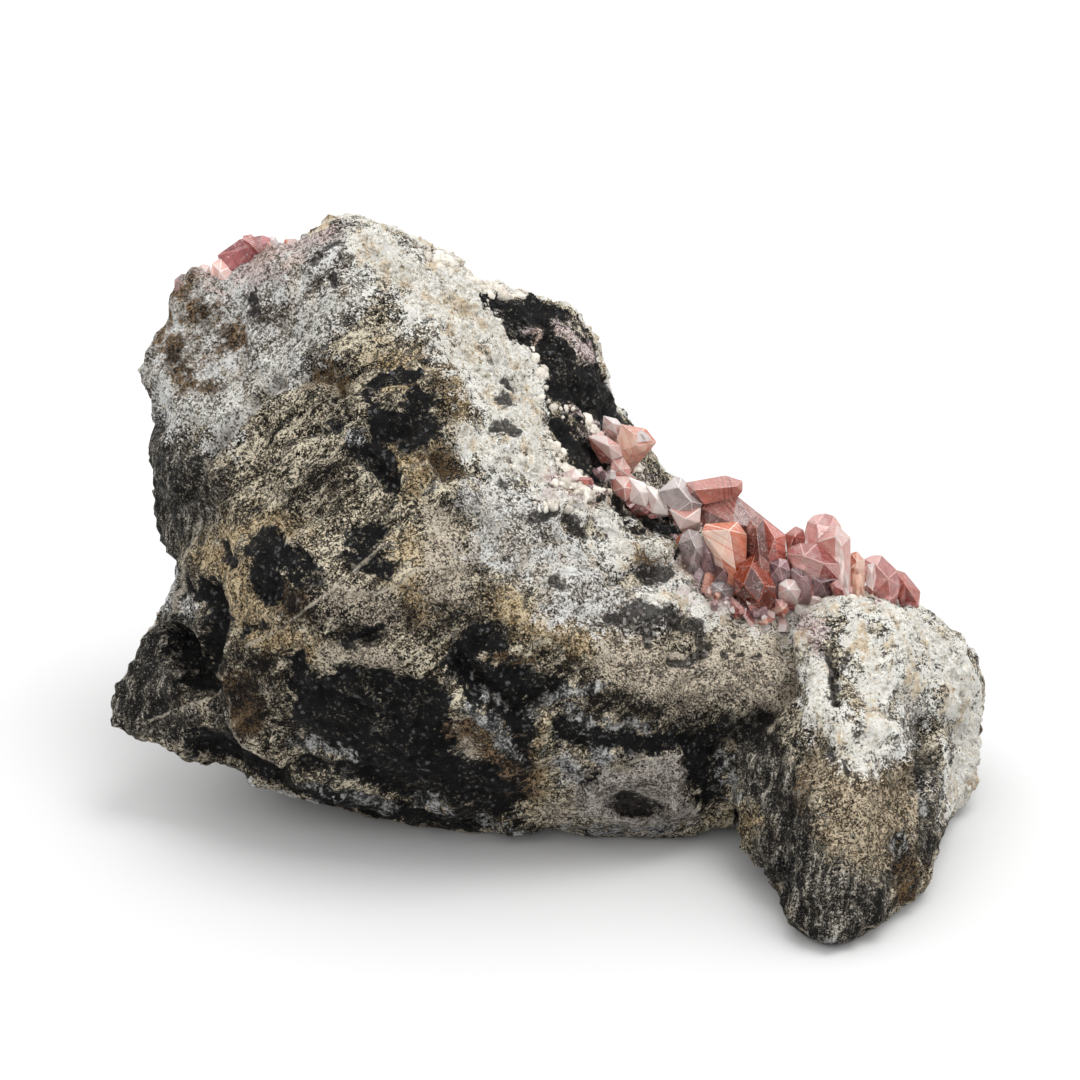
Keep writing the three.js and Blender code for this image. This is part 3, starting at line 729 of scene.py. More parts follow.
@dataclass(frozen=True)
class RockFinish:
    """The finish of the host rock: its minerals laid over brown foliated stone."""

    name: str = "weathered_host_rock"
    pore: Colour = linear(20, 17, 15)
    vein: Colour = linear(206, 196, 178)
    # Colour of the painted shade in the rock's hollows.
    hollow_shade: Colour = linear(104, 90, 76)
    powder: Colour = linear(226, 220, 206)
    stain: Colour = linear(214, 182, 128)
    # Colour of the painted glints on the glossy ore.
    ore_glint_highlight: Colour = linear(150, 150, 152)
    specular: float = 0.16

    @staticmethod
    def _zone(tree: ShaderTree, mineral: Mineral, fray: Shade, soft: float) -> Shade:
        """Where a mineral shows, with an edge that wanders and dissolves into grains.

        Args:
            tree: the finish's node tree.
            mineral: the mineral.
            fray: how far its edge is moved at each point, in millimetres.
            soft: half the width of its edge, in millimetres.

        Returns:
            The share of it that shows.
        """
        return (tree.attribute(mineral.value) + fray).step(-soft, soft)

    def material(self) -> bpy.types.Material:
        """Makes the material."""
        tree = ShaderTree(self.name)
        grain = tree.grains(0.21)
        far = tree.clouds(9, 8, 0.72) - 0.5
        near = tree.clouds(3, 7, 0.78, shift=11) - 0.5
        dust = tree.clouds(0.55, 3, 0.9, shift=23) - 0.5
        leaf = tree.clouds(2.0, 6, 0.78, place=tree.streaks(FOLIATION, 4)) - 0.5
        fibre = tree.clouds(1.4, 5, 0.78, place=tree.streaks(FOOT_LINE, 7)) - 0.5
        relief = tree.attribute("relief")
        chip = tree.grains(1.0, tree.streaks(FOLIATION, 1.6))
        flint = tree.grains(0.45)
        wander = near * 14 + dust * 7 + (grain - 0.5) * 1.6
        chips = (chip - 0.5) * 1.3 + (flint - 0.5) * 0.6 + near * 6
        salt = (grain - 0.5) * (0.45 + (far + near).ramp(-0.12, 0.12) * 0.45)
        grainy = 0.5 + far * 1.1 + near * 2.1 + dust * 3.6 + salt
        leafy = 0.5 + far * 1.1 + leaf * 2.9 + dust * 3.6 + salt
        fibrous = 0.5 + far * 0.8 + fibre * 3.2 + dust * 2.8 + salt * 0.7

        # From the lowest layer up: how far its edge frays, how soft it is, what its colours follow,
        # and its colours.
        layers = {
            Mineral.SLATE: (1.0, 0.9, 0.8 * fibrous + 0.07, (
                (0.30, 8, 7, 7), (0.49, 26, 24, 22), (0.64, 74, 68, 59), (0.78, 156, 148, 134),
                (0.94, 212, 206, 194))),
            Mineral.BARK: (0.8, 0.6, leafy, (
                (0.25, 12, 9, 8), (0.50, 46, 34, 24), (0.75, 122, 98, 68))),
            Mineral.OCHRE: (1.5, 1.6, 0.5 * (grainy + fibrous), (
                (0.20, 38, 28, 18), (0.40, 118, 96, 64), (0.58, 174, 148, 106),
                (0.8, 232, 214, 178))),
            Mineral.BEIGE: (1.1, 0.9, grainy + 0.09, (
                (0.22, 33, 27, 22), (0.42, 120, 107, 92), (0.57, 172, 157, 136),
                (0.78, 228, 216, 196))),
            Mineral.TAN: (0.8, 1.4, 0.5 * (fibrous + grainy), (
                (0.22, 34, 26, 19), (0.42, 98, 81, 60), (0.58, 152, 133, 105),
                (0.78, 218, 203, 176))),
            Mineral.PALE: (1.1, 0.9, leafy + far * 0.9, (
                (0.12, 48, 39, 31), (0.28, 116, 105, 92), (0.44, 172, 168, 160),
                (0.60, 216, 214, 210), (0.78, 245, 245, 243))),
            Mineral.FROST: (1.3, 1.2, grainy + 0.08, (
                (0.20, 70, 64, 54), (0.40, 156, 152, 143), (0.58, 212, 210, 203),
                (0.8, 248, 246, 240))),
            Mineral.CRUST: (1.2, 0.7, grainy + 0.23, (
                (0.06, 76, 58, 38), (0.20, 172, 148, 106), (0.32, 224, 210, 180),
                (0.46, 246, 241, 228), (0.7, 255, 253, 246))),
            Mineral.BLUSH: (1.0, 0.8, grainy, (
                (0.20, 82, 64, 62), (0.40, 160, 134, 130), (0.58, 204, 182, 178),
                (0.8, 240, 228, 224))),
            Mineral.SHELL: (0.9, 0.3, 0.5 + far * 0.9 + near * 1.8 + dust * 1.6 + salt * 0.6, (
                (0.25, 48, 43, 39), (0.44, 124, 116, 109), (0.58, 184, 175, 165),
                (0.8, 230, 222, 212))),
            Mineral.ORE: (0.8, 0.12, 0.7 * grainy, (
                (0.42, 5, 5, 6), (0.62, 16, 16, 18), (0.76, 48, 46, 44), (0.92, 172, 162, 140))),
            Mineral.RUST: (1.5, 0.5, grainy, (
                (0.30, 14, 10, 8), (0.56, 50, 37, 27), (0.72, 84, 64, 47), (0.9, 168, 142, 110))),
            Mineral.FLAKE: (0.8, 0.2, fibrous, (
                (0.26, 30, 30, 30), (0.46, 98, 98, 97), (0.62, 156, 156, 153),
                (0.8, 216, 215, 212))),
        }
        colour = tree.colours(
            leafy + 0.02, (0.26, 9, 7, 5), (0.42, 40, 32, 24), (0.54, 90, 77, 59),
            (0.66, 156, 140, 112), (0.82, 236, 226, 202))
        masks = {}
        for mineral, (fray, soft, field, stops) in layers.items():
            edge = chips if mineral in (Mineral.ORE, Mineral.FLAKE) else wander
            masks[mineral] = self._zone(tree, mineral, edge * fray, soft)
            colour = tree.mix(masks[mineral], colour, tree.colours(field, *stops))
        stone = 1 - masks[Mineral.ORE]
        pepper = self._zone(tree, Mineral.PEPPER, wander * 0.5, 1.6)
        pores = (dust + near * 0.6 + pepper * 0.12).step(0.12, 0.16) * (0.55 + 0.45 * pepper)
        pores = pores * stone * (1 - 0.82 * masks[Mineral.CRUST]) * (1 - 0.35 * masks[Mineral.PALE])
        colour = tree.mix(pores, colour, self.pore)
        pit = self._zone(tree, Mineral.PIT, chips * 0.3, 0.12)
        # Pits are dark glassy patches, and the hole's bottom is painted with them as shade; their
        # lightest grains are painted glints.
        glint = tree.colours(
            flint, (0.0, 9, 8, 8), (0.55, 20, 17, 16), (0.85, 54, 48, 46), (1.0, 172, 164, 160))
        colour = tree.mix(pit * 0.9, colour, glint)
        vein = self._zone(tree, Mineral.VEIN, wander * 0.06, 0.12)
        colour = tree.mix(vein * 0.8, colour, self.vein)
        # Painted shade: the colour is darkened where the relief sinks, in the hollows.
        colour = tree.mix(relief.step(0.0, -2.4) * 0.65, colour, self.hollow_shade, "MULTIPLY")
        powder = (dust + near * 0.5).step(-0.10, -0.14) * 0.4 * stone
        colour = tree.mix(powder, colour, self.powder)
        runs = tree.clouds(3.4, 6, 0.75, shift=47, place=tree.streaks(FOOT_LINE, 3))
        stain = masks[Mineral.CRUST].at_least(masks[Mineral.PALE] * 0.5) * runs.step(0.50, 0.62)
        colour = tree.mix(stain * 0.6, colour, self.stain, "MULTIPLY")
        # Painted highlight: light glints strewn over the ore.
        ore_glint_highlight = flint.step(0.93, 0.99) * masks[Mineral.ORE]
        colour = tree.mix(ore_glint_highlight * 0.35, colour, self.ore_glint_highlight)
        black = masks[Mineral.ORE].at_least(pit)
        roughness = 0.92 - 0.3 * masks[Mineral.SLATE] - black * (0.42 + near)
        grit = tree.bump(dust * 2 + grain * 0.25 + 0.4, 0.55)
        normal = tree.bump(near * 2 + leaf + 0.5, 1.0, under=grit)
        return tree.finish({"Base Color": colour, "Roughness": roughness, "Normal": normal,
                            "Specular IOR Level": self.specular})


@dataclass
class HostRock:
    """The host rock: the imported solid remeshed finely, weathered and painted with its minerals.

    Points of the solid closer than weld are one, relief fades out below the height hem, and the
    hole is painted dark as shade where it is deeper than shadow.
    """

    grid: float = 0.64
    rounding: int = 6
    weld: float = 0.002
    hem: float = 3.0
    shadow: float = 1.2

    def build(self) -> bpy.types.Object:
        """Makes the rock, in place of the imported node."""
        rock = self._remeshed()
        mesh = rock.data
        count = len(mesh.vertices)
        places = np.empty(count * 3)
        mesh.vertices.foreach_get("co", places)
        places = places.reshape(-1, 3) / MM
        edges = np.empty(len(mesh.edges) * 2, int)
        mesh.edges.foreach_get("vertices", edges)
        edges = edges.reshape(-1, 2)
        places = smoothed(places, edges, self.rounding)
        self._store(mesh, places)
        normals = np.empty(count * 3)
        mesh.vertex_normals.foreach_get("vector", normals)
        normals = normals.reshape(-1, 3)

        seen = self._seen(mesh, places, normals, edges)
        depths = self._zones(places, normals, seen)
        relief = self._relief(places, depths, seen)
        base = smoothstep(0.0, self.hem, places[:, 2])
        hole = self._hole(places, seen)
        moved = places + normals * (relief * (0.15 + 0.85 * base))[:, None]
        moved += np.outer(hole, VIEW.axes[2])
        moved[:, 2] = np.maximum(moved[:, 2], 0)
        # Painted shade: the hole's bottom, deeper than shadow, takes the dark pit colours.
        dark = np.where(hole > self.shadow, 1.0, -REACH)
        depths[Mineral.PIT] = np.maximum(depths[Mineral.PIT], dark)
        self._store(mesh, moved)
        for mineral, depth in depths.items():
            if mineral not in (Mineral.KNOB, Mineral.DRUSE):
                self._paint(mesh, mineral.value, np.clip(depth, -REACH, REACH))
        # The relief is kept for the finish, which paints shade into its hollows.
        self._paint(mesh, "relief", relief)
        for name, mineral, low in (("knobs", Mineral.KNOB, 0), ("druse", Mineral.DRUSE, 0),
                                   ("grit", Mineral.CRUST, 1.0)):
            self._paint(mesh, name, smoothstep(low, low + 0.8, depths[mineral]) * base)
        mesh.materials.clear()
        mesh.materials.append(RockFinish().material())
        mesh.polygons.foreach_set("use_smooth", np.ones(len(mesh.polygons), bool))
        return rock

    def _remeshed(self) -> bpy.types.Object:
        """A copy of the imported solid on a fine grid."""
        solid = bmesh.new()
        solid.from_mesh(frame["nodes"]["matrix"].data)
        bmesh.ops.remove_doubles(solid, verts=solid.verts, dist=self.weld * MM)
        coarse = bpy.data.meshes.new("host_rock_coarse")
        solid.to_mesh(coarse)
        solid.free()
        rock = new_object("host_rock", coarse)
        remesh = rock.modifiers.new("grid", "REMESH")
        remesh.mode = "VOXEL"
        remesh.voxel_size = self.grid * MM
        done = rock.evaluated_get(bpy.context.evaluated_depsgraph_get())
        fine = bpy.data.meshes.new_from_object(done)
        rock.modifiers.remove(remesh)
        rock.data = fine
        bpy.data.meshes.remove(coarse)
        return rock

    @staticmethod
    def _store(mesh: bpy.types.Mesh, places: np.ndarray) -> None:
        """Moves a mesh's points to places in millimetres."""
        mesh.vertices.foreach_set("co", (places * MM).ravel())
        mesh.update()

    @staticmethod
    def _paint(mesh: bpy.types.Mesh, name: str, values: np.ndarray) -> None:
        """Keeps a number for each point of a mesh."""
        layer = mesh.attributes.new(name, "FLOAT", "POINT")
        layer.data.foreach_set("value", values.astype(np.float32))

    @staticmethod
    def _seen(mesh: bpy.types.Mesh, places: np.ndarray, normals: np.ndarray,
              edges: np.ndarray) -> np.ndarray:
        """How openly each point faces the viewer, from 0 to 1."""
        polygons = [tuple(polygon.vertices) for polygon in mesh.polygons]
        tree = BVHTree.FromPolygons(places.tolist(), polygons)
        starts = places + normals * 0.4
        ways = VIEW.eye - starts
        ways /= np.linalg.norm(ways, axis=1, keepdims=True)
        facing = np.einsum("ij,ij->i", normals, ways)
        clear = np.array([
            float(face > 0 and tree.ray_cast(start, way)[0] is None)
            for start, way, face in zip(starts.tolist(), ways.tolist(), facing)
        ])
        return smoothstep(0.3, 0.7, smoothed(clear[:, None], edges, 10)[:, 0])

    @staticmethod
    def _zones(places: np.ndarray, normals: np.ndarray,
               seen: np.ndarray) -> dict[Mineral, np.ndarray]:
        """How deep each point lies inside each mineral, in millimetres.

        Args:
            places: the points in millimetres.
            normals: their normals.
            seen: how openly each faces the viewer.

        Returns:
            A depth for each point, below 0 outside the mineral.
        """
        warp = np.stack([lumps(places, 4.5, 3, 20), lumps(places, 4.5, 3, 40)], axis=1)
        spots = VIEW.on_face(places)
        broad = lumps(places, 26, 3, 3)
        other = lumps(places, 18, 3, 9)
        small = lumps(places, 8, 3, 14)
        height = places[:, 2] / 80
        rear = {
            Mineral.CRUST: (broad + 0.5 * normals[:, 2] + 0.5 * height - 0.45) * 14,
            Mineral.PALE: (other + 0.35 - 0.6 * np.abs(broad)) * 12,
            Mineral.SLATE: (-broad - 0.10 - 0.5 * height) * 16,
            Mineral.ORE: (small - 0.42 - 0.3 * np.maximum(normals[:, 2], 0)) * 6,
            Mineral.OCHRE: (lumps(places, 10, 3, 27) - 0.42) * 7,
            Mineral.RUST: (lumps(places, 12, 3, 31) - 0.45) * 7,
            Mineral.PEPPER: (lumps(places, 9, 3, 37) - 0.25) * 7,
            Mineral.BEIGE: (lumps(places, 14, 3, 51) - 0.25) * 9,
            Mineral.FROST: (lumps(places, 11, 3, 55) - 0.4) * 8,
            Mineral.FLAKE: (lumps(places, 6, 3, 43) - 0.55) * 6,
        }
        outside = np.full(len(places), -REACH)
        depths = {}
        for mineral in Mineral:
            wander = 0.3 if mineral in (Mineral.VEIN, Mineral.PIT) else 1.0
            bent = spots + warp * wander
            depth = np.max([band.depth(bent) for band in ZONES[mineral]], axis=0) \
                if ZONES.get(mineral) else outside
            back = np.clip(rear.get(mineral, outside), -REACH, REACH)
            depths[mineral] = depth * seen + back * (1 - seen)
        depths[Mineral.ORE] = np.minimum(depths[Mineral.ORE], 0.2 - depths[Mineral.BLUSH])
        return depths

    @staticmethod
    def _relief(places: np.ndarray, depths: dict[Mineral, np.ndarray],
                seen: np.ndarray) -> np.ndarray:
        """The rock's fine relief: how far each point stands out, in millimetres.

        Args:
            places: the points in millimetres.
            depths: how deep each lies inside each mineral.
            seen: how openly each faces the viewer.

        Returns:
            The height at each point.
        """
        def share(mineral: Mineral, soft: float = 0.6) -> np.ndarray:
            """The share of a mineral at each point."""
            return smoothstep(-soft, soft, depths[mineral])

        ore, crust, slate = share(Mineral.ORE), share(Mineral.CRUST, 1.0), share(Mineral.SLATE, 1.0)
        shell = share(Mineral.SHELL, 0.8)
        rough = 0.8 * lumps(places, 7, 4) + 0.65 * lumps(places, 2.6, 3, 8)
        leaves = lumps(along(places, FOLIATION, 6), 1.5, 3, 2)
        knobs = 0.5 - np.abs(lumps(places, 1.9, 2, 17)) * 2
        fibres = lumps(along(places, FOOT_LINE, 8), 1.3, 3, 4)
        slabs = lumps(along(places, SLAB_LINE, 5), 1.4, 3, 6)
        broken = facets(places, 3.4)
        relief = rough * (1 - 0.6 * shell) + 0.3 * leaves * (1 - crust) * (1 - ore) * (1 - shell)
        relief += crust * (0.35 + 0.5 * knobs)
        relief += (slate + share(Mineral.TAN, 2.0) * (1 - slate)) * 0.34 * fibres
        relief += ore * (-0.6 + 0.6 * broken + 0.4 * slabs)
        relief -= 0.4 * share(Mineral.PIT, 0.4)
        relief += 0.15 * share(Mineral.VEIN, 0.3)
        spots = VIEW.on_face(places)
        for height, band in FOLDS:
            relief += height * smoothstep(0, band.reach, band.depth(spots)) * seen
        return relief

    @staticmethod
    def _hole(places: np.ndarray, seen: np.ndarray) -> np.ndarray:
        """How far each point sinks into the hole at the hem, in millimetres."""
        offset = (VIEW.on_face(places) - HOLE_AT) / HOLE_SIZE
        away = np.linalg.norm(offset, axis=1) + 0.35 * lumps(places, 3, 3, 61)
        return HOLE_DEPTH * smoothstep(1.15, 0.55, away) * seen


# ------------------------------------------------------------------ crystals


class Hue(Enum):
    """The crystals' own colours: where they are deepest, and where they are lightest."""

    ROSE = (linear(178, 78, 72), linear(252, 198, 190))
    BLUSH = (linear(234, 150, 134), linear(255, 240, 232))
    SALMON = (linear(230, 136, 102), linear(255, 228, 208))
    WINE = (linear(142, 42, 34), linear(226, 130, 114))
    EMBER = (linear(84, 22, 4), linear(176, 68, 28))
    GARNET = (linear(112, 28, 34), linear(190, 84, 84))
    CLAY = (linear(128, 54, 44), linear(212, 132, 116))
    BROWN = (linear(98, 44, 38), linear(176, 112, 100))
    MAUVE = (linear(94, 58, 64), linear(204, 164, 168))
    GREY = (linear(176, 160, 158), linear(252, 246, 244))
    MILK = (linear(226, 188, 180), linear(255, 248, 244))


@dataclass(frozen=True)
class CrystalFinish:
    """The finish of clear to cloudy crystals, coloured by what is painted on each, with painted
    light on its facets and a painted highlight on its edges.
    """

    name: str
    absorbed: Colour
    density: float
    transmission: float
    veils: float = 0.35
    lined: float = 0.3

    def material(self) -> bpy.types.Material:
        """Makes the material."""
        tree = ShaderTree(self.name)
        tone = tree.attribute("tone")
        lines = self._lines(tree, tone)
        mid = tree.clouds(1.5, 4, 0.65)
        fine = tree.clouds(0.5, 3, 0.7, shift=4)
        cloudy = tree.clouds(2.6, 5, 0.65, shift=9)
        facet = tree.attribute("facet")
        # Painted highlight: the narrow edge faces.
        rim = facet.step(1.0, 1.6)
        # Painted light: each facet's painted lightness moves its colour from deep towards light.
        shade = (mid * 0.4 + fine * 0.2 + facet * 0.9 + tone * 0.2).ramp(0.42, 1.08)
        colour = tree.mix(shade, tree.painted("deep"), tree.painted("light"))
        colour = tree.mix(lines.step(0.50, 0.38) * self.lined, colour, tree.painted("deep"),
                          "MULTIPLY")
        cracks = 1 - (tree.clouds(1.7, 3, 0.6, shift=31) - 0.5).magnitude().ramp(0, 0.014)
        veil_and_rim_highlight = (cloudy.step(0.52, 0.66) * self.veils).at_least(cracks * 0.5)
        # Cloudiness and cracks are the crystal's own; the edges add a painted highlight in the same
        # pale colour.
        veil_and_rim_highlight = veil_and_rim_highlight.at_least(rim * fine.ramp(0.3, 0.65) * 0.6)
        colour = tree.mix(veil_and_rim_highlight, colour, linear(246, 232, 226))
        roughness = 0.04 + 0.3 * veil_and_rim_highlight + 0.1 * fine.step(0.5, 0.7)
        normal = tree.bump(lines, 0.05, under=tree.bump(fine * 0.35 + mid * 0.65, 0.16))
        absorption = tree.node("ShaderNodeVolumeAbsorption", {},
                               {"Color": (*self.absorbed, 1), "Density": self.density})
        tree.links.new(absorption.outputs[0], tree.output.inputs["Volume"])
        return tree.finish({"Base Color": colour, "Roughness": roughness, "Normal": normal,
                            "IOR": 1.7, "Transmission Weight": self.transmission})

    @staticmethod
    def _lines(tree: ShaderTree, tone: Shade) -> Shade:
        """Growth lines across each crystal."""
        at = tree.node("ShaderNodeCombineXYZ", {},
                       {0: tree.attribute("lengthwise") * 2.4, 1: tone * 40})
        return tree.clouds(1, 4, 0.75, place=at.outputs[0])


class CrystalSlot(Enum):
    """The crystals' finishes, one for each slot."""

    RED = CrystalFinish("red_crystal", linear(236, 144, 126), 60, 0.5, 0.16, 0.65)
    ROSE = CrystalFinish("rose_crystal", linear(246, 186, 176), 22, 0.68)
    SALMON = CrystalFinish("salmon_crystal", linear(248, 194, 176), 22, 0.68)
    PALE = CrystalFinish("pale_crystal", linear(246, 226, 220), 25, 0.6, 0.5)
    MAUVE = CrystalFinish("mauve_crystal", linear(222, 192, 194), 45, 0.75, 0.3)

    def __init__(self, *_: object) -> None:
        """Keeps a place for the member's material, made once it is asked for."""
        self._material: bpy.types.Material | None = None

    @property
    def material(self) -> bpy.types.Material:
        """The finish's one material."""
        if self._material is None:
            self._material = self.value.material()
        return self._material


# How light a crystal's faces are painted at most, as the light each facet catches, and how much
# lighter its narrow edges are painted as a highlight.
FACE_PAINTED_LIGHT = 0.85
EDGE_PAINTED_HIGHLIGHT = 0.7
# A gem's foot is three points about the given one.
FOOT_STEPS = ((1.1, 0, 0), (-1.1, 0, 0), (0, 0, -1.6))


def cut(mesh: bmesh.types.BMesh, middle: Vector, normal: Vector) -> None:
    """Takes away what lies beyond a plane, and closes the cut."""
    parts = list(mesh.verts) + list(mesh.edges) + list(mesh.faces)
    rim = bmesh.ops.bisect_plane(mesh, geom=parts, dist=1e-5, plane_co=middle,
                                 plane_no=normal, clear_outer=True)["geom_cut"]
    edges = [part for part in rim if isinstance(part, bmesh.types.BMEdge)]
    if len(edges) > 2:
        bmesh.ops.contextual_create(mesh, geom=edges)


@dataclass(frozen=True)
class Crystal:
    """One crystal: a body of six sides under a blunt tip of three faces.

    Its base and tip are given on the face plane, as Viewpoint.behind_face has it.
    """

    hue: Hue
    base: Point
    tip: Point
    width: float
    spin: float = 0
    flatness: float = 0.85
    slope: float = 0.8
    root: float = 2.0
    edge: float = 0.12

    def shape(self, dice: np.random.Generator) -> bmesh.types.BMesh:
        """Makes the crystal's closed mesh, cut plane by plane from a block.

        Args:
            dice: gives the small differences between its faces.

        Returns:
            The mesh in millimetres, stood on its base along Z.
        """
        base, tip = VIEW.behind_face(self.base), VIEW.behind_face(self.tip)
        mesh = self.upright((tip - base).length, dice)
        turn = Vector((0, 0, 1)).rotation_difference(tip - base).to_matrix().to_4x4()
        place = Matrix.Translation(base) @ turn @ Matrix.Rotation(math.radians(self.spin), 4, "Z")
        bmesh.ops.transform(mesh, matrix=place, verts=mesh.verts)
        return mesh

    def upright(self, length: float, dice: np.random.Generator) -> bmesh.types.BMesh:
        """The crystal stood on the origin along Z.

        Args:
            length: from its base to its tip.
            dice: gives the small differences between its faces.

        Returns:
            The closed mesh.
        """
        radius = self.width / 2
        mesh = bmesh.new()
        size = Matrix.Diagonal((self.width * 2, self.width * 2, length + self.root, 1))
        lift = Matrix.Translation((0, 0, (length - self.root) / 2))
        bmesh.ops.create_cube(mesh, size=1, matrix=lift @ size)
        for k in range(6):
            turn = math.radians(60 * k + 30 + float(dice.normal(0, 5)))
            side = Vector((math.cos(turn), math.sin(turn), float(dice.normal(0.02, 0.05))))
            reach = radius * 0.87 * float(dice.uniform(0.78, 1.12))
            reach *= self.flatness if k in (1, 4) else 1
            cut(mesh, side * reach, side)
        for k in range(3):
            turn = math.radians(120 * k + float(dice.normal(0, 10)))
            slope = self.slope * float(dice.uniform(0.7, 1.4))
            face = Vector((math.cos(turn), math.sin(turn), 1 / slope))
            drop = radius * float(dice.uniform(-0.1, 0.45))
            cut(mesh, Vector((0, 0, length - drop)), face)
        for k in range(3):
            turn = math.radians(120 * k + 60)
            face = Vector((math.cos(turn), math.sin(turn), float(dice.uniform(0.3, 0.8))))
            cut(mesh, face.normalized() * radius * float(dice.uniform(0.75, 1.05))
                + Vector((0, 0, length - radius)), face)
        paint_facet_light(mesh, dice)
        if self.edge:
            round_edges(mesh, min(self.edge, self.width * 0.03))
        paint_crystal(mesh, self.hue, float(dice.uniform(0, 1)), Vector((0.3, 0, 1)))
        return mesh


@dataclass(frozen=True)
class Gem:
    """A stout crystal with its own flat faces, given by its corners on the viewer's side.

    Corners lie on the face plane, as Viewpoint.behind_face has it. The faces span them, and its
    back is the same outline drawn in, pushed away and down towards the rock. Faces that meet at
    less than flat degrees become one.
    """

    hue: Hue
    corners: tuple[Point, ...]
    foot: Point | None = None
    thick: float = 3.0
    lines: float = 80
    edge: float = 0.09
    drawn: float = 0.7
    sunk: float = 0.35
    flat: float = 21

    def shape(self, dice: np.random.Generator) -> bmesh.types.BMesh:
        """Makes the gem's closed mesh.

        Args:
            dice: gives its tone.

        Returns:
            The mesh in millimetres, in place.
        """
        front = np.array(self.corners)
        middle = front.mean(axis=0)
        back = middle + (front - middle) * self.drawn - (0, self.sunk * self.thick, self.thick)
        spots = [*front, *back]
        if self.foot:
            spots += [np.array(self.foot) + step for step in FOOT_STEPS]
        mesh = bmesh.new()
        for spot in spots:
            mesh.verts.new(VIEW.behind_face(tuple(spot)))
        bmesh.ops.convex_hull(mesh, input=list(mesh.verts))
        loose = [vert for vert in mesh.verts if not vert.link_faces]
        bmesh.ops.delete(mesh, geom=loose, context="VERTS")
        bmesh.ops.dissolve_limit(mesh, angle_limit=math.radians(self.flat), verts=list(mesh.verts),
                                 edges=list(mesh.edges))
        paint_facet_light(mesh, dice)
        round_edges(mesh, self.edge)
        axis = Vector(VIEW.along_face(self.lines))
        paint_crystal(mesh, self.hue, float(dice.uniform(0, 1)), axis)
        return mesh


def paint_facet_light(mesh: bmesh.types.BMesh, dice: np.random.Generator) -> None:
    """Paints each face of a crystal its own random lightness, standing in for the light that each
    facet catches and refracts.
    """
    facet = mesh.faces.layers.float.new("facet")
    for face in mesh.faces:
        face[facet] = float(dice.uniform(0, FACE_PAINTED_LIGHT))


def round_edges(mesh: bmesh.types.BMesh, width: float) -> None:
    """Breaks a crystal's edges, and paints their narrow faces lighter than their neighbours as a
    highlight.
    """
    highlight_rims = bmesh.ops.bevel(mesh, geom=list(mesh.edges), offset=width, segments=1,
                           affect="EDGES", clamp_overlap=True)["faces"]
    facet = mesh.faces.layers.float["facet"]
    for face in highlight_rims:
        face[facet] += EDGE_PAINTED_HIGHLIGHT
    bmesh.ops.recalc_face_normals(mesh, faces=list(mesh.faces))


def paint_crystal(mesh: bmesh.types.BMesh, hue: Hue, shade: float, axis: Vector) -> None:
    """Paints a crystal's colours and tone, and how far along its axis each point lies."""
    tone = mesh.verts.layers.float.new("tone")
    lengthwise = mesh.verts.layers.float.new("lengthwise")
    deep = mesh.verts.layers.float_color.new("deep")
    light = mesh.verts.layers.float_color.new("light")
    for vert in mesh.verts:
        vert[tone] = shade
        vert[lengthwise] = vert.co.dot(axis)
        vert[deep] = (*hue.value[0], 1)
        vert[light] = (*hue.value[1], 1)


@dataclass
class CrystalCluster:
    """Crystals grown together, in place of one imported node."""

    node: str
    slot: CrystalSlot
    gems: tuple[Gem, ...]
    seed: int
    sprouts: int = 1

    def build(self) -> bpy.types.Object:
        """Makes the cluster's mesh and gives it its finish."""
        dice = np.random.default_rng(self.seed)
        whole = bpy.data.meshes.new(self.node)
        total = bmesh.new()
        for crystal in (*self.gems, *self._sprouted(dice)):
            shape = crystal.shape(dice)
            part = bpy.data.meshes.new("part")
            shape.to_mesh(part)
            shape.free()
            total.from_mesh(part)
            bpy.data.meshes.remove(part)
        bmesh.ops.scale(total, vec=(MM, MM, MM), verts=total.verts)
        total.to_mesh(whole)
        total.free()
        whole.materials.append(self.slot.material)
        return new_object(self.node.replace("crystals", "cluster"), whole)

    def _sprouted(self, dice: np.random.Generator) -> list[Crystal]:
        """Small crystals that stand out of the gems' backs, towards the far side."""
        grown = []
        for gem in self.gems:
            front = np.array(gem.corners)
            middle = front.mean(axis=0) - (0, gem.sunk * gem.thick, 0.8 * gem.thick)
            span = float(np.ptp(front[:, 0]))
            for _ in range(self.sprouts):
                away = np.array([dice.normal(0, 0.35), dice.uniform(-0.3, 0.25), -1.0])
                tip = middle + away * span * float(dice.uniform(0.35, 0.7))
                grown.append(Crystal(gem.hue, tuple(middle), tuple(tip),
                                     span * float(dice.uniform(0.35, 0.6)),
                                     float(dice.uniform(0, 60)), root=0.5))
        return grown


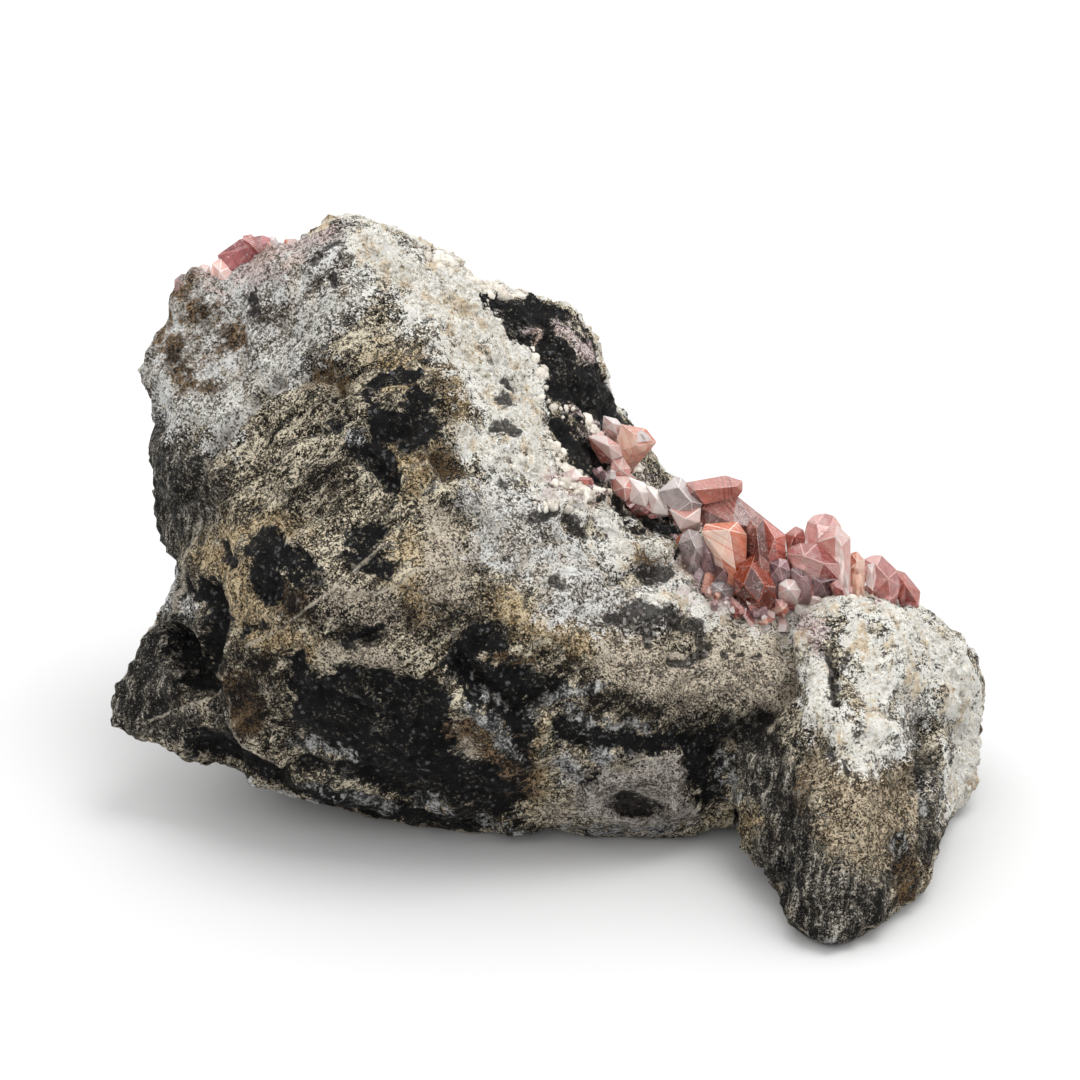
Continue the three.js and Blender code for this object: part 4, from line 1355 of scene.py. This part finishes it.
# Corners of the gems: millimetres to the right of and above the middle of the face plane, and how
# far in front of it.
CLUSTERS = (
    CrystalCluster("crystals_centre", CrystalSlot.RED, (
        Gem(Hue.CLAY, (
            (20.4, 8.1, -12.4), (26, 9.1, -12.6), (28.4, 8.3, -11.8), (28.4, 6.9, -11),
            (27.7, 6, -11.6), (23.1, 5, -11.6), (20.6, 5.8, -12), (21.5, 7, -9.8),
            (27.4, 7.5, -9.6)),
            None, 2.6, 8),
        Gem(Hue.BROWN, (
            (21.8, 4.9, -13), (27.5, 6.3, -11.6), (31, 3.7, -11.4), (34.4, 0.8, -12), (34, -3, -11),
            (27, 2.4, -8.4), (23.6, -0.6, -10), (30.6, 1.6, -8.4), (29, -5, -10)),
            (30, -9.6, -13), 5.5, 40),
        Gem(Hue.BROWN, (
            (29.3, 3, -6.8), (30.6, 3.5, -7), (31.2, 2.9, -6.6), (31.9, 0.2, -6), (32.2, -3.4, -6),
            (30.2, -3.6, -5.4), (28.8, -1.6, -6.2), (28.9, 1.6, -6.4), (30.3, 1.8, -4.6),
            (30.7, -2, -4.2)), (31, -9.8, -9.5), 2.4, 84),
        Gem(Hue.WINE, (
            (31.2, 3.1, -9), (32.7, 2, -9.2), (34.4, 0.7, -9.6), (34.5, -1.9, -9.4),
            (33.4, -4, -8.6), (31.8, -3, -7.6), (32.9, 0.3, -7)), (33.4, -9.8, -11), 2.6, 70),
        Gem(Hue.SALMON, (
            (22.6, 1.2, -6.6), (23.1, 2.3, -6.8), (25.4, 2.6, -6.4), (27.7, 2.6, -6.8),
            (29, 0.8, -6.4), (28.9, -2, -6.2), (27.4, -4.1, -5.8), (25.3, -2.3, -5), (24, -1.2, -6),
            (26.5, 1.4, -4)), (27.2, -8.4, -9.6), 3.2, 60),
        Gem(Hue.EMBER, (
            (30.2, -1.7, -6.8), (31.1, -2.6, -6.4), (31.7, -4.2, -6.2), (33.1, -6.6, -6.6),
            (33.2, -8, -6.6), (32.3, -9.7, -6.8), (30.6, -10.3, -6.8), (28.9, -9.4, -6.6),
            (27.3, -7.5, -6.6), (27, -5.1, -6.4), (27.4, -3.7, -6.6), (28.9, -2.3, -6.6),
            (29.6, -3.6, -4), (31.5, -6.4, -3.8), (30.6, -8.8, -4.2), (28.5, -6.2, -4.4)),
            (30.6, -10.6, -10), 3, 108),
        Gem(Hue.MAUVE, (
            (32, -3, -7.8), (33.6, -2.5, -7.8), (34.7, -2.8, -7.8), (35.1, -4.3, -7.6),
            (33.9, -5.7, -7.2), (32.2, -5.3, -7.2), (33.5, -3.6, -6)),
            (33.8, -9.4, -10.5), 2.4, 30),
        Gem(Hue.MILK, (
            (33.4, -6.1, -7.4), (34.5, -5.4, -7.6), (35.9, -5.5, -7.6), (36.6, -7, -7.6),
            (36, -8.3, -7.4), (34.6, -8.6, -7.2), (33.2, -7.6, -7.2), (34.8, -6.8, -5.4)),
            (35, -9.8, -10), 2, 50),
        Gem(Hue.ROSE, (
            (32.9, -8.2, -7.8), (34, -8.2, -7.6), (34.7, -9.8, -7.6), (34.2, -10.9, -7.8),
            (32.8, -9.6, -7.6), (33.7, -9.2, -6.6)), None, 1.6, 20),
    ), 11),
    CrystalCluster("crystals_right", CrystalSlot.ROSE, (
        Gem(Hue.WINE, (
            (34.3, 0.9, -12.8), (35.8, 2, -12.8), (36.9, 1.5, -12.8), (37.2, 0.2, -12.4),
            (36.6, -2, -11.8), (34.6, -1.6, -11.8), (35.7, 0.6, -10.8)), (36.2, -8, -15), 3, 60),
        Gem(Hue.ROSE, (
            (37, 1, -12.4), (37.4, 2.6, -12.6), (38.3, 3.5, -12.6), (39.9, 3.8, -12.6),
            (41.2, 3.4, -12.6), (42.1, 2.2, -12.4), (42.6, 0.4, -12), (40, -3, -11),
            (37.6, -2, -11), (38.8, 2.2, -10.2), (40.6, 1.8, -10.2), (39, 0.2, -9.4)),
            (40, -8.6, -14.5), 3.6, 75),
        Gem(Hue.BLUSH, (
            (38.7, -0.3, -9.4), (40.6, 1.8, -9.8), (41.6, 2.2, -9.8), (42.4, 1.5, -9.8),
            (43.5, 0.4, -9.6), (43.4, -1.4, -9.4), (43, -3.6, -8.8), (41.8, -3.2, -8),
            (40.2, -1.7, -8), (41.4, 0.5, -7), (42.2, -0.8, -6.8)), (42.4, -8.6, -9.4), 3, 40),
        Gem(Hue.ROSE, (
            (34.5, -1.9, -8.6), (35, -1.1, -8.8), (36.4, -0.4, -8.8), (38.8, -0.5, -8.6),
            (40.4, -1.8, -8.2), (42.4, -3.4, -8.2), (41.8, -5.4, -7.8), (40.4, -5.4, -7.4),
            (38.3, -5.2, -7.2), (35.8, -4.2, -7.6), (37, -2.2, -6), (39.7, -3.2, -5.8)),
            (38.6, -9.4, -10), 3.4, 66),
        Gem(Hue.MAUVE, (
            (35, -4, -7.8), (36.5, -3.7, -7.8), (37.8, -4.9, -7.4), (37.9, -6.4, -7.2),
            (37, -7.4, -7.4), (35.6, -6.4, -7.6), (36.7, -5.2, -6)), (37, -9.4, -9.6), 2, 50),
        Gem(Hue.MAUVE, (
            (37.9, -5, -7.6), (39.8, -5, -7.4), (41.6, -5.4, -7.6), (40.4, -6.5, -7.4),
            (38.4, -7.2, -7.6), (39.4, -5.9, -6.2)), (39.6, -9, -9), 2, 20),
        Gem(Hue.MILK, (
            (42.5, -3.2, -9.2), (43.4, -3, -9.4), (43.6, -5.2, -9.2), (43.2, -7.6, -8.6),
            (42.4, -6.6, -8.6), (42.9, -4.8, -8.2)), None, 1.4, 86),
    ), 12),
    CrystalCluster("crystals_shoulder", CrystalSlot.ROSE, (
        Gem(Hue.SALMON, (
            (43.5, -1.8, -13.4), (44.4, -1.5, -13.6), (45.5, -2.8, -13.4), (45.3, -4.6, -13),
            (44.4, -5.4, -12.8), (43.4, -4, -12.8), (44.4, -3, -12)), (44.4, -8.6, -14), 2.2, 70),
        Gem(Hue.ROSE, (
            (45.4, -2.6, -16.4), (46.5, -2.1, -16.6), (47.8, -2.1, -16.6), (48.7, -2.8, -16.6),
            (50, -4.2, -16.6), (50.5, -6.4, -16.2), (49.7, -8, -15.6), (46.6, -7.4, -14.8),
            (45.2, -5, -15.4), (47.2, -3.6, -13.8), (48.8, -5.4, -13.6)),
            (48.2, -10.8, -17.5), 3.6, 60),
        Gem(Hue.MILK, (
            (45.8, -3.4, -14), (46.8, -3.1, -14), (47.1, -5.2, -13.4), (46.6, -7.2, -12.8),
            (45.6, -6.2, -13), (46.5, -4.8, -12.6)), None, 1.4, 84),
        Gem(Hue.WINE, (
            (49.8, -4.1, -18.8), (51.1, -4.5, -18.8), (52.3, -5.8, -18.8), (53.3, -7.2, -18.6),
            (53, -9, -18), (50.6, -8.4, -17.2), (49.4, -6, -17.8), (51.2, -6.2, -16.4)),
            (51.8, -11.6, -19.5), 3, 40),
    ), 13),
    CrystalCluster("crystals_upper", CrystalSlot.SALMON, (
        Gem(Hue.SALMON, (
            (11.3, 16.3, -18.4), (13.4, 16.1, -18.2), (14.9, 15.6, -18), (16.4, 13.7, -17.6),
            (14.4, 12.4, -16.6), (12.7, 11.7, -16.8), (11.2, 12.5, -17.2), (10.8, 14.2, -17.8),
            (13.2, 14.8, -15.6), (13.6, 13.2, -15.4)), (11.6, 9.4, -22), 1.8, 20),
        Gem(Hue.GREY, (
            (13.6, 15.1, -15.9), (14.2, 15.5, -16.2), (15.4, 14.6, -16.2), (15.7, 13.9, -16.2),
            (13.2, 13.5, -15.4)), None, 0.5, 20),
        Gem(Hue.BLUSH, (
            (6.7, 14.5, -16), (8, 14.9, -16.4), (9.3, 14.6, -16.4), (11.2, 13.3, -16.2),
            (11.6, 11.7, -16), (10.1, 11.1, -15.8), (9.1, 12.2, -15.6), (7.7, 13.4, -15.8),
            (9.6, 13.2, -14.6)), (9, 10.6, -21), 1.4, 140),
        Gem(Hue.MILK, (
            (8.8, 17.5, -19.6), (9.7, 17.4, -19.6), (10.8, 17, -19.4), (11.6, 16, -19),
            (10.8, 14.8, -18.6), (9.4, 15.8, -18.8), (10.2, 16.4, -18)), (9.6, 13.4, -23), 1.2, 60),
        Gem(Hue.BLUSH, (
            (10, 11.4, -16.4), (11.6, 11.7, -16.6), (12.7, 10.1, -16.2), (12.6, 8.9, -15.8),
            (11.2, 8.3, -15.2), (9.8, 9, -15.2), (11.2, 10, -14.2)), (11.2, 5.6, -17.5), 2, 70),
    ), 14),
    CrystalCluster("crystals_pale", CrystalSlot.PALE, (
        Gem(Hue.BLUSH, (
            (10.2, 9, -14.6), (12.7, 8.9, -14.6), (13.4, 7.2, -13.8), (12, 5.4, -13),
            (10.2, 6.8, -13.6), (11.8, 7.4, -12.2)), (11.8, 6.2, -18), 2.2, 20),
        Gem(Hue.MILK, (
            (12.3, 8.9, -14.2), (14.6, 8.1, -14.2), (15.9, 6.6, -13.8), (14.8, 4.6, -13),
            (12.6, 5.4, -13), (14, 6.8, -12)), (14.2, 5.2, -18), 2.2, 130),
        Gem(Hue.MILK, (
            (14.8, 7.8, -13.8), (16.7, 7, -13.6), (17.7, 5.4, -13.2), (18, 3.4, -12.6),
            (15.6, 3.8, -12.4), (16.4, 5.6, -11.6)), (16.6, 4.4, -17), 2.2, 70),
        Gem(Hue.GREY, (
            (16.4, 6.8, -12.6), (17.5, 7.9, -12.8), (18.8, 8.9, -12.8), (19.8, 8.8, -12.8),
            (22.2, 6.6, -12.4), (22.8, 5, -12), (21.4, 3.6, -11.4), (18.9, 3.8, -11.4),
            (17.3, 5.4, -12), (19.4, 7.4, -10.2), (21.2, 5.4, -9.8)), (20.2, 2.4, -16), 3, 130),
        Gem(Hue.BLUSH, (
            (18, 4.4, -11.6), (20.4, 4, -11.2), (22.6, 4.6, -11.4), (22.4, 2.4, -10.8),
            (19.6, 1.4, -10.6), (20.4, 3, -9.8)), (21, 1, -14.6), 2.2, 20),
    ), 15),
    CrystalCluster("crystals_rim", CrystalSlot.MAUVE, (
        Gem(Hue.GREY, (
            (19.3, -0.5, -8.2), (19.8, 0.8, -8.4), (20.8, 1.6, -8.4), (22.2, 1.2, -8.2),
            (23.4, -0.6, -8), (23, -2.4, -7.6), (21.6, -3, -7.4), (20.2, -1.9, -7.8),
            (21.2, 0.2, -6), (21.8, -1.2, -5.8)), (21.6, -5.2, -9.8), 2.2, 60),
        Gem(Hue.MAUVE, (
            (22.6, 0.6, -8.4), (24.3, -0.8, -8.2), (25.2, -2.4, -8), (24.6, -4.2, -7.6),
            (22.8, -3.6, -7.4), (22, -1.6, -7.8), (23.6, -1.7, -6)), (24, -6.6, -9.6), 2.2, 40),
        Gem(Hue.MAUVE, (
            (24.5, -2.9, -7.8), (25.3, -2.3, -8), (27, -3.5, -8), (27.4, -5.3, -7.8),
            (26.2, -6.4, -7.4), (24.3, -5.8, -7.4), (25.8, -4.2, -5.8)), (25.8, -8, -9.8), 2.2, 70),
        Gem(Hue.GREY, (
            (23.8, -6, -7.6), (25.8, -5.5, -7.8), (27.4, -6.7, -7.8), (26.6, -8.6, -7.4),
            (24.6, -8.6, -7.2), (23.4, -7.3, -7.2), (25.4, -7, -6)), (25.4, -9.6, -8.6), 1.8, 20),
    ), 16),
    CrystalCluster("crystals_crown", CrystalSlot.RED, (
        Gem(Hue.GARNET, (
            (-45.2, 39.9, -17.4), (-44.3, 40.6, -17.6), (-42, 42.2, -17.6), (-38.8, 42.7, -17.4),
            (-37, 42.1, -17), (-36.8, 40.2, -15.6), (-40, 38.4, -15.8), (-44.2, 36.6, -16.6),
            (-42.2, 40.6, -15), (-39.2, 41.4, -14.8)), None, 3, 25),
        Gem(Hue.BLUSH, (
            (-45.9, 38.8, -17.2), (-44.6, 39.6, -17.2), (-43, 38.4, -16.4), (-43.4, 35.6, -15.8),
            (-45.4, 35.2, -16.4), (-46.2, 36.8, -17), (-44.8, 37.6, -15.4)), None, 2.2, 100),
    ), 17, 0),
    CrystalCluster("crystals_corner", CrystalSlot.ROSE, (
        Gem(Hue.BLUSH, (
            (-48.3, 37.8, -18.6), (-47.3, 38.7, -18.8), (-46.3, 38.5, -18.8), (-45.6, 37.6, -18.6),
            (-45.8, 35.4, -17.6), (-48, 35.2, -18), (-47, 37.2, -17.2)), None, 2.4, 30),
        Gem(Hue.BROWN, (
            (-51.2, 36.5, -19), (-50.2, 37.3, -19.2), (-48.7, 37.3, -19), (-48.2, 35.6, -18.4),
            (-49.4, 34, -17.8), (-51.2, 33.8, -18.4), (-49.9, 35.9, -17.4)), None, 2.4, 50),
    ), 18, 0),
)


# ------------------------------------------------------------------ what grows on the rock


@dataclass
class Growth:
    """Many small shapes strewn over the rock by Geometry Nodes.

    Density counts them on each square centimetre, smallest and largest scale them, and upright
    is 1 where they all stand out of the rock, and 0 where they lie any way round.
    """

    name: str
    share: str
    density: float
    smallest: float
    largest: float
    seed: int
    upright: float

    def build(self, ground: bpy.types.Object, shapes: Sequence[bpy.types.Mesh],
              material: bpy.types.Material) -> bpy.types.Object:
        """Strews the shapes over the ground.

        Args:
            ground: the rock, whose attribute named by share says where they grow.
            shapes: the meshes to pick from, of about one millimetre.
            material: their finish.

        Returns:
            The shapes as one plain mesh.
        """
        kinds = bpy.data.collections.new(f"{self.name}_kinds")
        for index, shape in enumerate(shapes):
            kinds.objects.link(bpy.data.objects.new(f"{self.name}_kind_{index}", shape))
        group = self._tree(kinds, material)
        piece = new_object(self.name, ground.data.copy())
        grow = piece.modifiers.new("growth", "NODES")
        grow.node_group = group
        wanted = {"Density": self.density * 1e4, "Smallest": self.smallest, "Largest": self.largest}
        for item in group.interface.items_tree:
            if item.name in wanted:
                grow[item.identifier] = wanted[item.name]
        done = piece.evaluated_get(bpy.context.evaluated_depsgraph_get())
        mesh = bpy.data.meshes.new_from_object(done)
        piece.modifiers.remove(grow)
        ground_copy = piece.data
        piece.data = mesh
        bpy.data.meshes.remove(ground_copy)
        bpy.data.node_groups.remove(group)
        for kind in list(kinds.objects):
            bpy.data.objects.remove(kind)
        bpy.data.collections.remove(kinds)
        return piece

    def _tree(self, kinds: bpy.types.Collection,
              material: bpy.types.Material) -> bpy.types.NodeTree:
        """The node tree, with the density and the sizes as named inputs."""
        group = bpy.data.node_groups.new(self.name, "GeometryNodeTree")
        face = group.interface
        face.new_socket("Geometry", in_out="INPUT", socket_type="NodeSocketGeometry")
        for name in ("Density", "Smallest", "Largest"):
            face.new_socket(name, in_out="INPUT", socket_type="NodeSocketFloat")
        face.new_socket("Geometry", in_out="OUTPUT", socket_type="NodeSocketGeometry")

        def node(kind: str, settings: dict, inputs: dict) -> bpy.types.Node:
            """Adds a node with its settings and its inputs' values or links."""
            made = group.nodes.new(kind)
            for key, value in settings.items():
                setattr(made, key, value)
            for key, value in inputs.items():
                if isinstance(value, Socket):
                    group.links.new(value, made.inputs[key])
                else:
                    made.inputs[key].default_value = value
            return made

        start = node("NodeGroupInput", {}, {})
        share = node("GeometryNodeInputNamedAttribute", {"data_type": "FLOAT"},
                     {"Name": self.share})
        density = node("ShaderNodeMath", {"operation": "MULTIPLY"},
                       {0: start.outputs["Density"], 1: share.outputs["Attribute"]})
        points = node("GeometryNodeDistributePointsOnFaces", {"distribute_method": "RANDOM"},
                      {"Mesh": start.outputs["Geometry"], "Density": density.outputs[0],
                       "Seed": self.seed})
        turned = node("FunctionNodeRandomValue", {"data_type": "FLOAT_VECTOR"},
                      {"Min": (0, 0, 0), "Max": (math.tau, math.tau, math.tau),
                       "Seed": self.seed + 1})
        loose = node("FunctionNodeEulerToRotation", {}, {0: turned.outputs[0]})
        twist = node("FunctionNodeRandomValue", {"data_type": "FLOAT"},
                     {"Min": 0.0, "Max": math.tau, "Seed": self.seed + 2})
        about = node("FunctionNodeAxisAngleToRotation", {},
                     {"Axis": (0, 0, 1), "Angle": twist.outputs[1]})
        stood = node("FunctionNodeRotateRotation", {"rotation_space": "LOCAL"},
                     {0: points.outputs["Rotation"], 1: about.outputs[0]})
        turn = node("ShaderNodeMix", {"data_type": "ROTATION"},
                    {0: self.upright, 8: loose.outputs[0], 9: stood.outputs[0]})
        size = node("FunctionNodeRandomValue", {"data_type": "FLOAT"},
                    {"Min": 0.0, "Max": 1.0, "Seed": self.seed + 3})
        skew = node("ShaderNodeMath", {"operation": "POWER"}, {0: size.outputs[1], 1: 2.0})
        span = node("ShaderNodeMapRange", {}, {"Value": skew.outputs[0],
                    "To Min": start.outputs["Smallest"], "To Max": start.outputs["Largest"]})
        stretch = node("FunctionNodeRandomValue", {"data_type": "FLOAT_VECTOR"},
                       {"Min": (0.75, 0.75, 0.75), "Max": (1.25, 1.25, 1.35),
                        "Seed": self.seed + 4})
        scale = node("ShaderNodeVectorMath", {"operation": "SCALE"},
                     {0: stretch.outputs[0], "Scale": span.outputs["Result"]})
        several = node("GeometryNodeCollectionInfo", {},
                       {"Collection": kinds, "Separate Children": True, "Reset Children": True})
        strewn = node("GeometryNodeInstanceOnPoints", {},
                      {"Points": points.outputs["Points"], "Instance": several.outputs[0],
                       "Pick Instance": True, "Rotation": turn.outputs[3],
                       "Scale": scale.outputs[0]})
        toned = node("FunctionNodeRandomValue", {"data_type": "FLOAT"},
                     {"Min": 0.0, "Max": 1.0, "Seed": self.seed + 5})
        kept = node("GeometryNodeStoreNamedAttribute", {"data_type": "FLOAT", "domain": "INSTANCE"},
                    {"Geometry": strewn.outputs[0], "Name": "tone", "Value": toned.outputs[1]})
        real = node("GeometryNodeRealizeInstances", {}, {0: kept.outputs[0]})
        dressed = node("GeometryNodeSetMaterial", {},
                       {"Geometry": real.outputs[0], "Material": material})
        node("NodeGroupOutput", {}, {0: dressed.outputs[0]})
        return group


def kept_mesh(name: str, shape: bmesh.types.BMesh) -> bpy.types.Mesh:
    """A mesh of a shape in millimetres, which is freed."""
    bmesh.ops.scale(shape, vec=(MM, MM, MM), verts=shape.verts)
    mesh = bpy.data.meshes.new(name)
    shape.to_mesh(mesh)
    shape.free()
    return mesh


def knob_shapes(dice: np.random.Generator) -> list[bpy.types.Mesh]:
    """Four rounded lumps of about one millimetre."""
    made = []
    for _ in range(4):
        lump = bmesh.new()
        bmesh.ops.create_cube(lump, size=1)
        bmesh.ops.subdivide_edges(lump, edges=list(lump.edges), cuts=1, use_grid_fill=True)
        for vert in lump.verts:
            vert.co = vert.co.normalized() * 0.5 * float(dice.uniform(0.8, 1.15))
            vert.co.z -= 0.2
        for face in lump.faces:
            face.smooth = True
        made.append(kept_mesh("knob", lump))
    return made


def shard_shapes(dice: np.random.Generator, *hues: Hue) -> list[bpy.types.Mesh]:
    """A small crystal of about one millimetre in each hue, stood on its base."""
    return [kept_mesh("shard", Crystal(hue, (0, 0, 0), (0, 0, 0), 0.9, root=0.5, edge=0)
                      .upright(float(dice.uniform(0.8, 1.3)), dice)) for hue in hues]


@dataclass(frozen=True)
class KnobFinish:
    """The finish of the pale rounded lumps."""

    name: str
    dark: Colour
    light: Colour

    def material(self) -> bpy.types.Material:
        """Makes the material."""
        tree = ShaderTree(self.name)
        tone = tree.attribute("tone")
        spots = tree.clouds(0.5, 4, 0.85)
        share = (tone * 0.4 + spots * 1.4 - 0.4).ramp(0.1, 0.9)
        colour = tree.mix(share, self.dark, self.light)
        normal = tree.bump(spots, 0.25)
        return tree.finish({"Base Color": colour, "Roughness": 0.55 + 0.3 * spots,
                            "Normal": normal})


# ------------------------------------------------------------------ floor and light


@dataclass(frozen=True)
class FloorFinish:
    """Plain pale paper."""

    name: str = "pale_floor"
    colour: Colour = linear(188, 188, 188)

    def material(self) -> bpy.types.Material:
        """Makes the material."""
        return ShaderTree(self.name).finish({"Base Color": self.colour, "Roughness": 0.9,
                                             "Specular IOR Level": 0.1})


@dataclass
class Studio:
    """The pale floor and the soft light: a tent that is bright overhead and dim at its foot."""

    floor_width: float = 8
    tent_top: float = 2.0
    tent_foot: float = 1.3
    key_power: float = 24
    key_width: float = 1.1
    key_at: Point = (0.55, -0.2, 2.1)

    def build(self) -> None:
        """Makes the floor, the tent and the key light."""
        mesh = bmesh.new()
        bmesh.ops.create_grid(mesh, x_segments=1, y_segments=1, size=self.floor_width / 2)
        sheet = bpy.data.meshes.new("floor")
        mesh.to_mesh(sheet)
        mesh.free()
        sheet.materials.append(FloorFinish().material())
        new_object("floor", sheet)
        self._tent()
        bpy.context.scene.view_settings.view_transform = "Standard"
        data = bpy.data.lights.new("key", "AREA")
        data.shape = "SQUARE"
        data.size = self.key_width
        data.energy = self.key_power
        light = bpy.data.objects.new("key", data)
        aim = (Vector((0, 0, 0.03)) - Vector(self.key_at)).to_track_quat("-Z", "Y")
        light.matrix_world = Matrix.Translation(self.key_at) @ aim.to_matrix().to_4x4()
        bpy.context.scene.collection.objects.link(light)

    def _tent(self) -> None:
        """Lights the world, more from above than from the sides."""
        world = bpy.data.worlds.new("tent")
        world.use_nodes = True
        nodes, links = world.node_tree.nodes, world.node_tree.links
        way = nodes.new("ShaderNodeTexCoord")
        split = nodes.new("ShaderNodeSeparateXYZ")
        span = nodes.new("ShaderNodeMapRange")
        span.interpolation_type = "SMOOTHSTEP"
        span.inputs["To Min"].default_value = self.tent_foot
        span.inputs["To Max"].default_value = self.tent_top
        links.new(way.outputs["Generated"], split.inputs[0])
        links.new(split.outputs["Z"], span.inputs["Value"])
        links.new(span.outputs["Result"], nodes["Background"].inputs["Strength"])
        nodes["Background"].inputs["Color"].default_value = (1, 1, 1, 1)
        bpy.context.scene.world = world


# ------------------------------------------------------------------ the specimen


def settle(piece: bpy.types.Object, slot: str, *nodes: str) -> None:
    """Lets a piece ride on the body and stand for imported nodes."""
    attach(piece, BODY)
    if nodes:
        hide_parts(*nodes)
    piece.data.calc_loop_triangles()
    LOG.info("%s: %d triangles", piece.name, len(piece.data.loop_triangles))


def main() -> None:
    """Builds the specimen, the studio and the camera."""
    logging.basicConfig(level=logging.INFO, format="%(name)s: %(message)s")
    Studio().build()
    VIEW.camera()
    rock = HostRock().build()
    settle(rock, "host_rock", "matrix")
    for cluster in CLUSTERS:
        settle(cluster.build(), cluster.slot.value.name, cluster.node)
    dice = np.random.default_rng(21)
    knobs = knob_shapes(dice)
    shards = shard_shapes(dice, Hue.BLUSH, Hue.MILK, Hue.ROSE, Hue.MAUVE, Hue.SALMON, Hue.GREY)
    lumpy = KnobFinish("pale_knobs", linear(132, 122, 110), linear(238, 232, 220)).material()
    ridge = Growth("ridge_knobs", "knobs", density=110, smallest=0.7, largest=2.3, seed=31,
                   upright=1.0)
    settle(ridge.build(rock, knobs, lumpy), "host_rock")
    grit = Growth("crust_grit", "grit", density=130, smallest=0.45, largest=1.3, seed=33,
                  upright=1.0)
    settle(grit.build(rock, knobs, rock.data.materials[0]), "host_rock")
    druse = Growth("crystal_druse", "druse", density=95, smallest=0.7, largest=2.6, seed=35,
                   upright=0.6)
    settle(druse.build(rock, shards, CrystalSlot.ROSE.material), "rose_crystal")


if __name__ == "__main__":
    main()
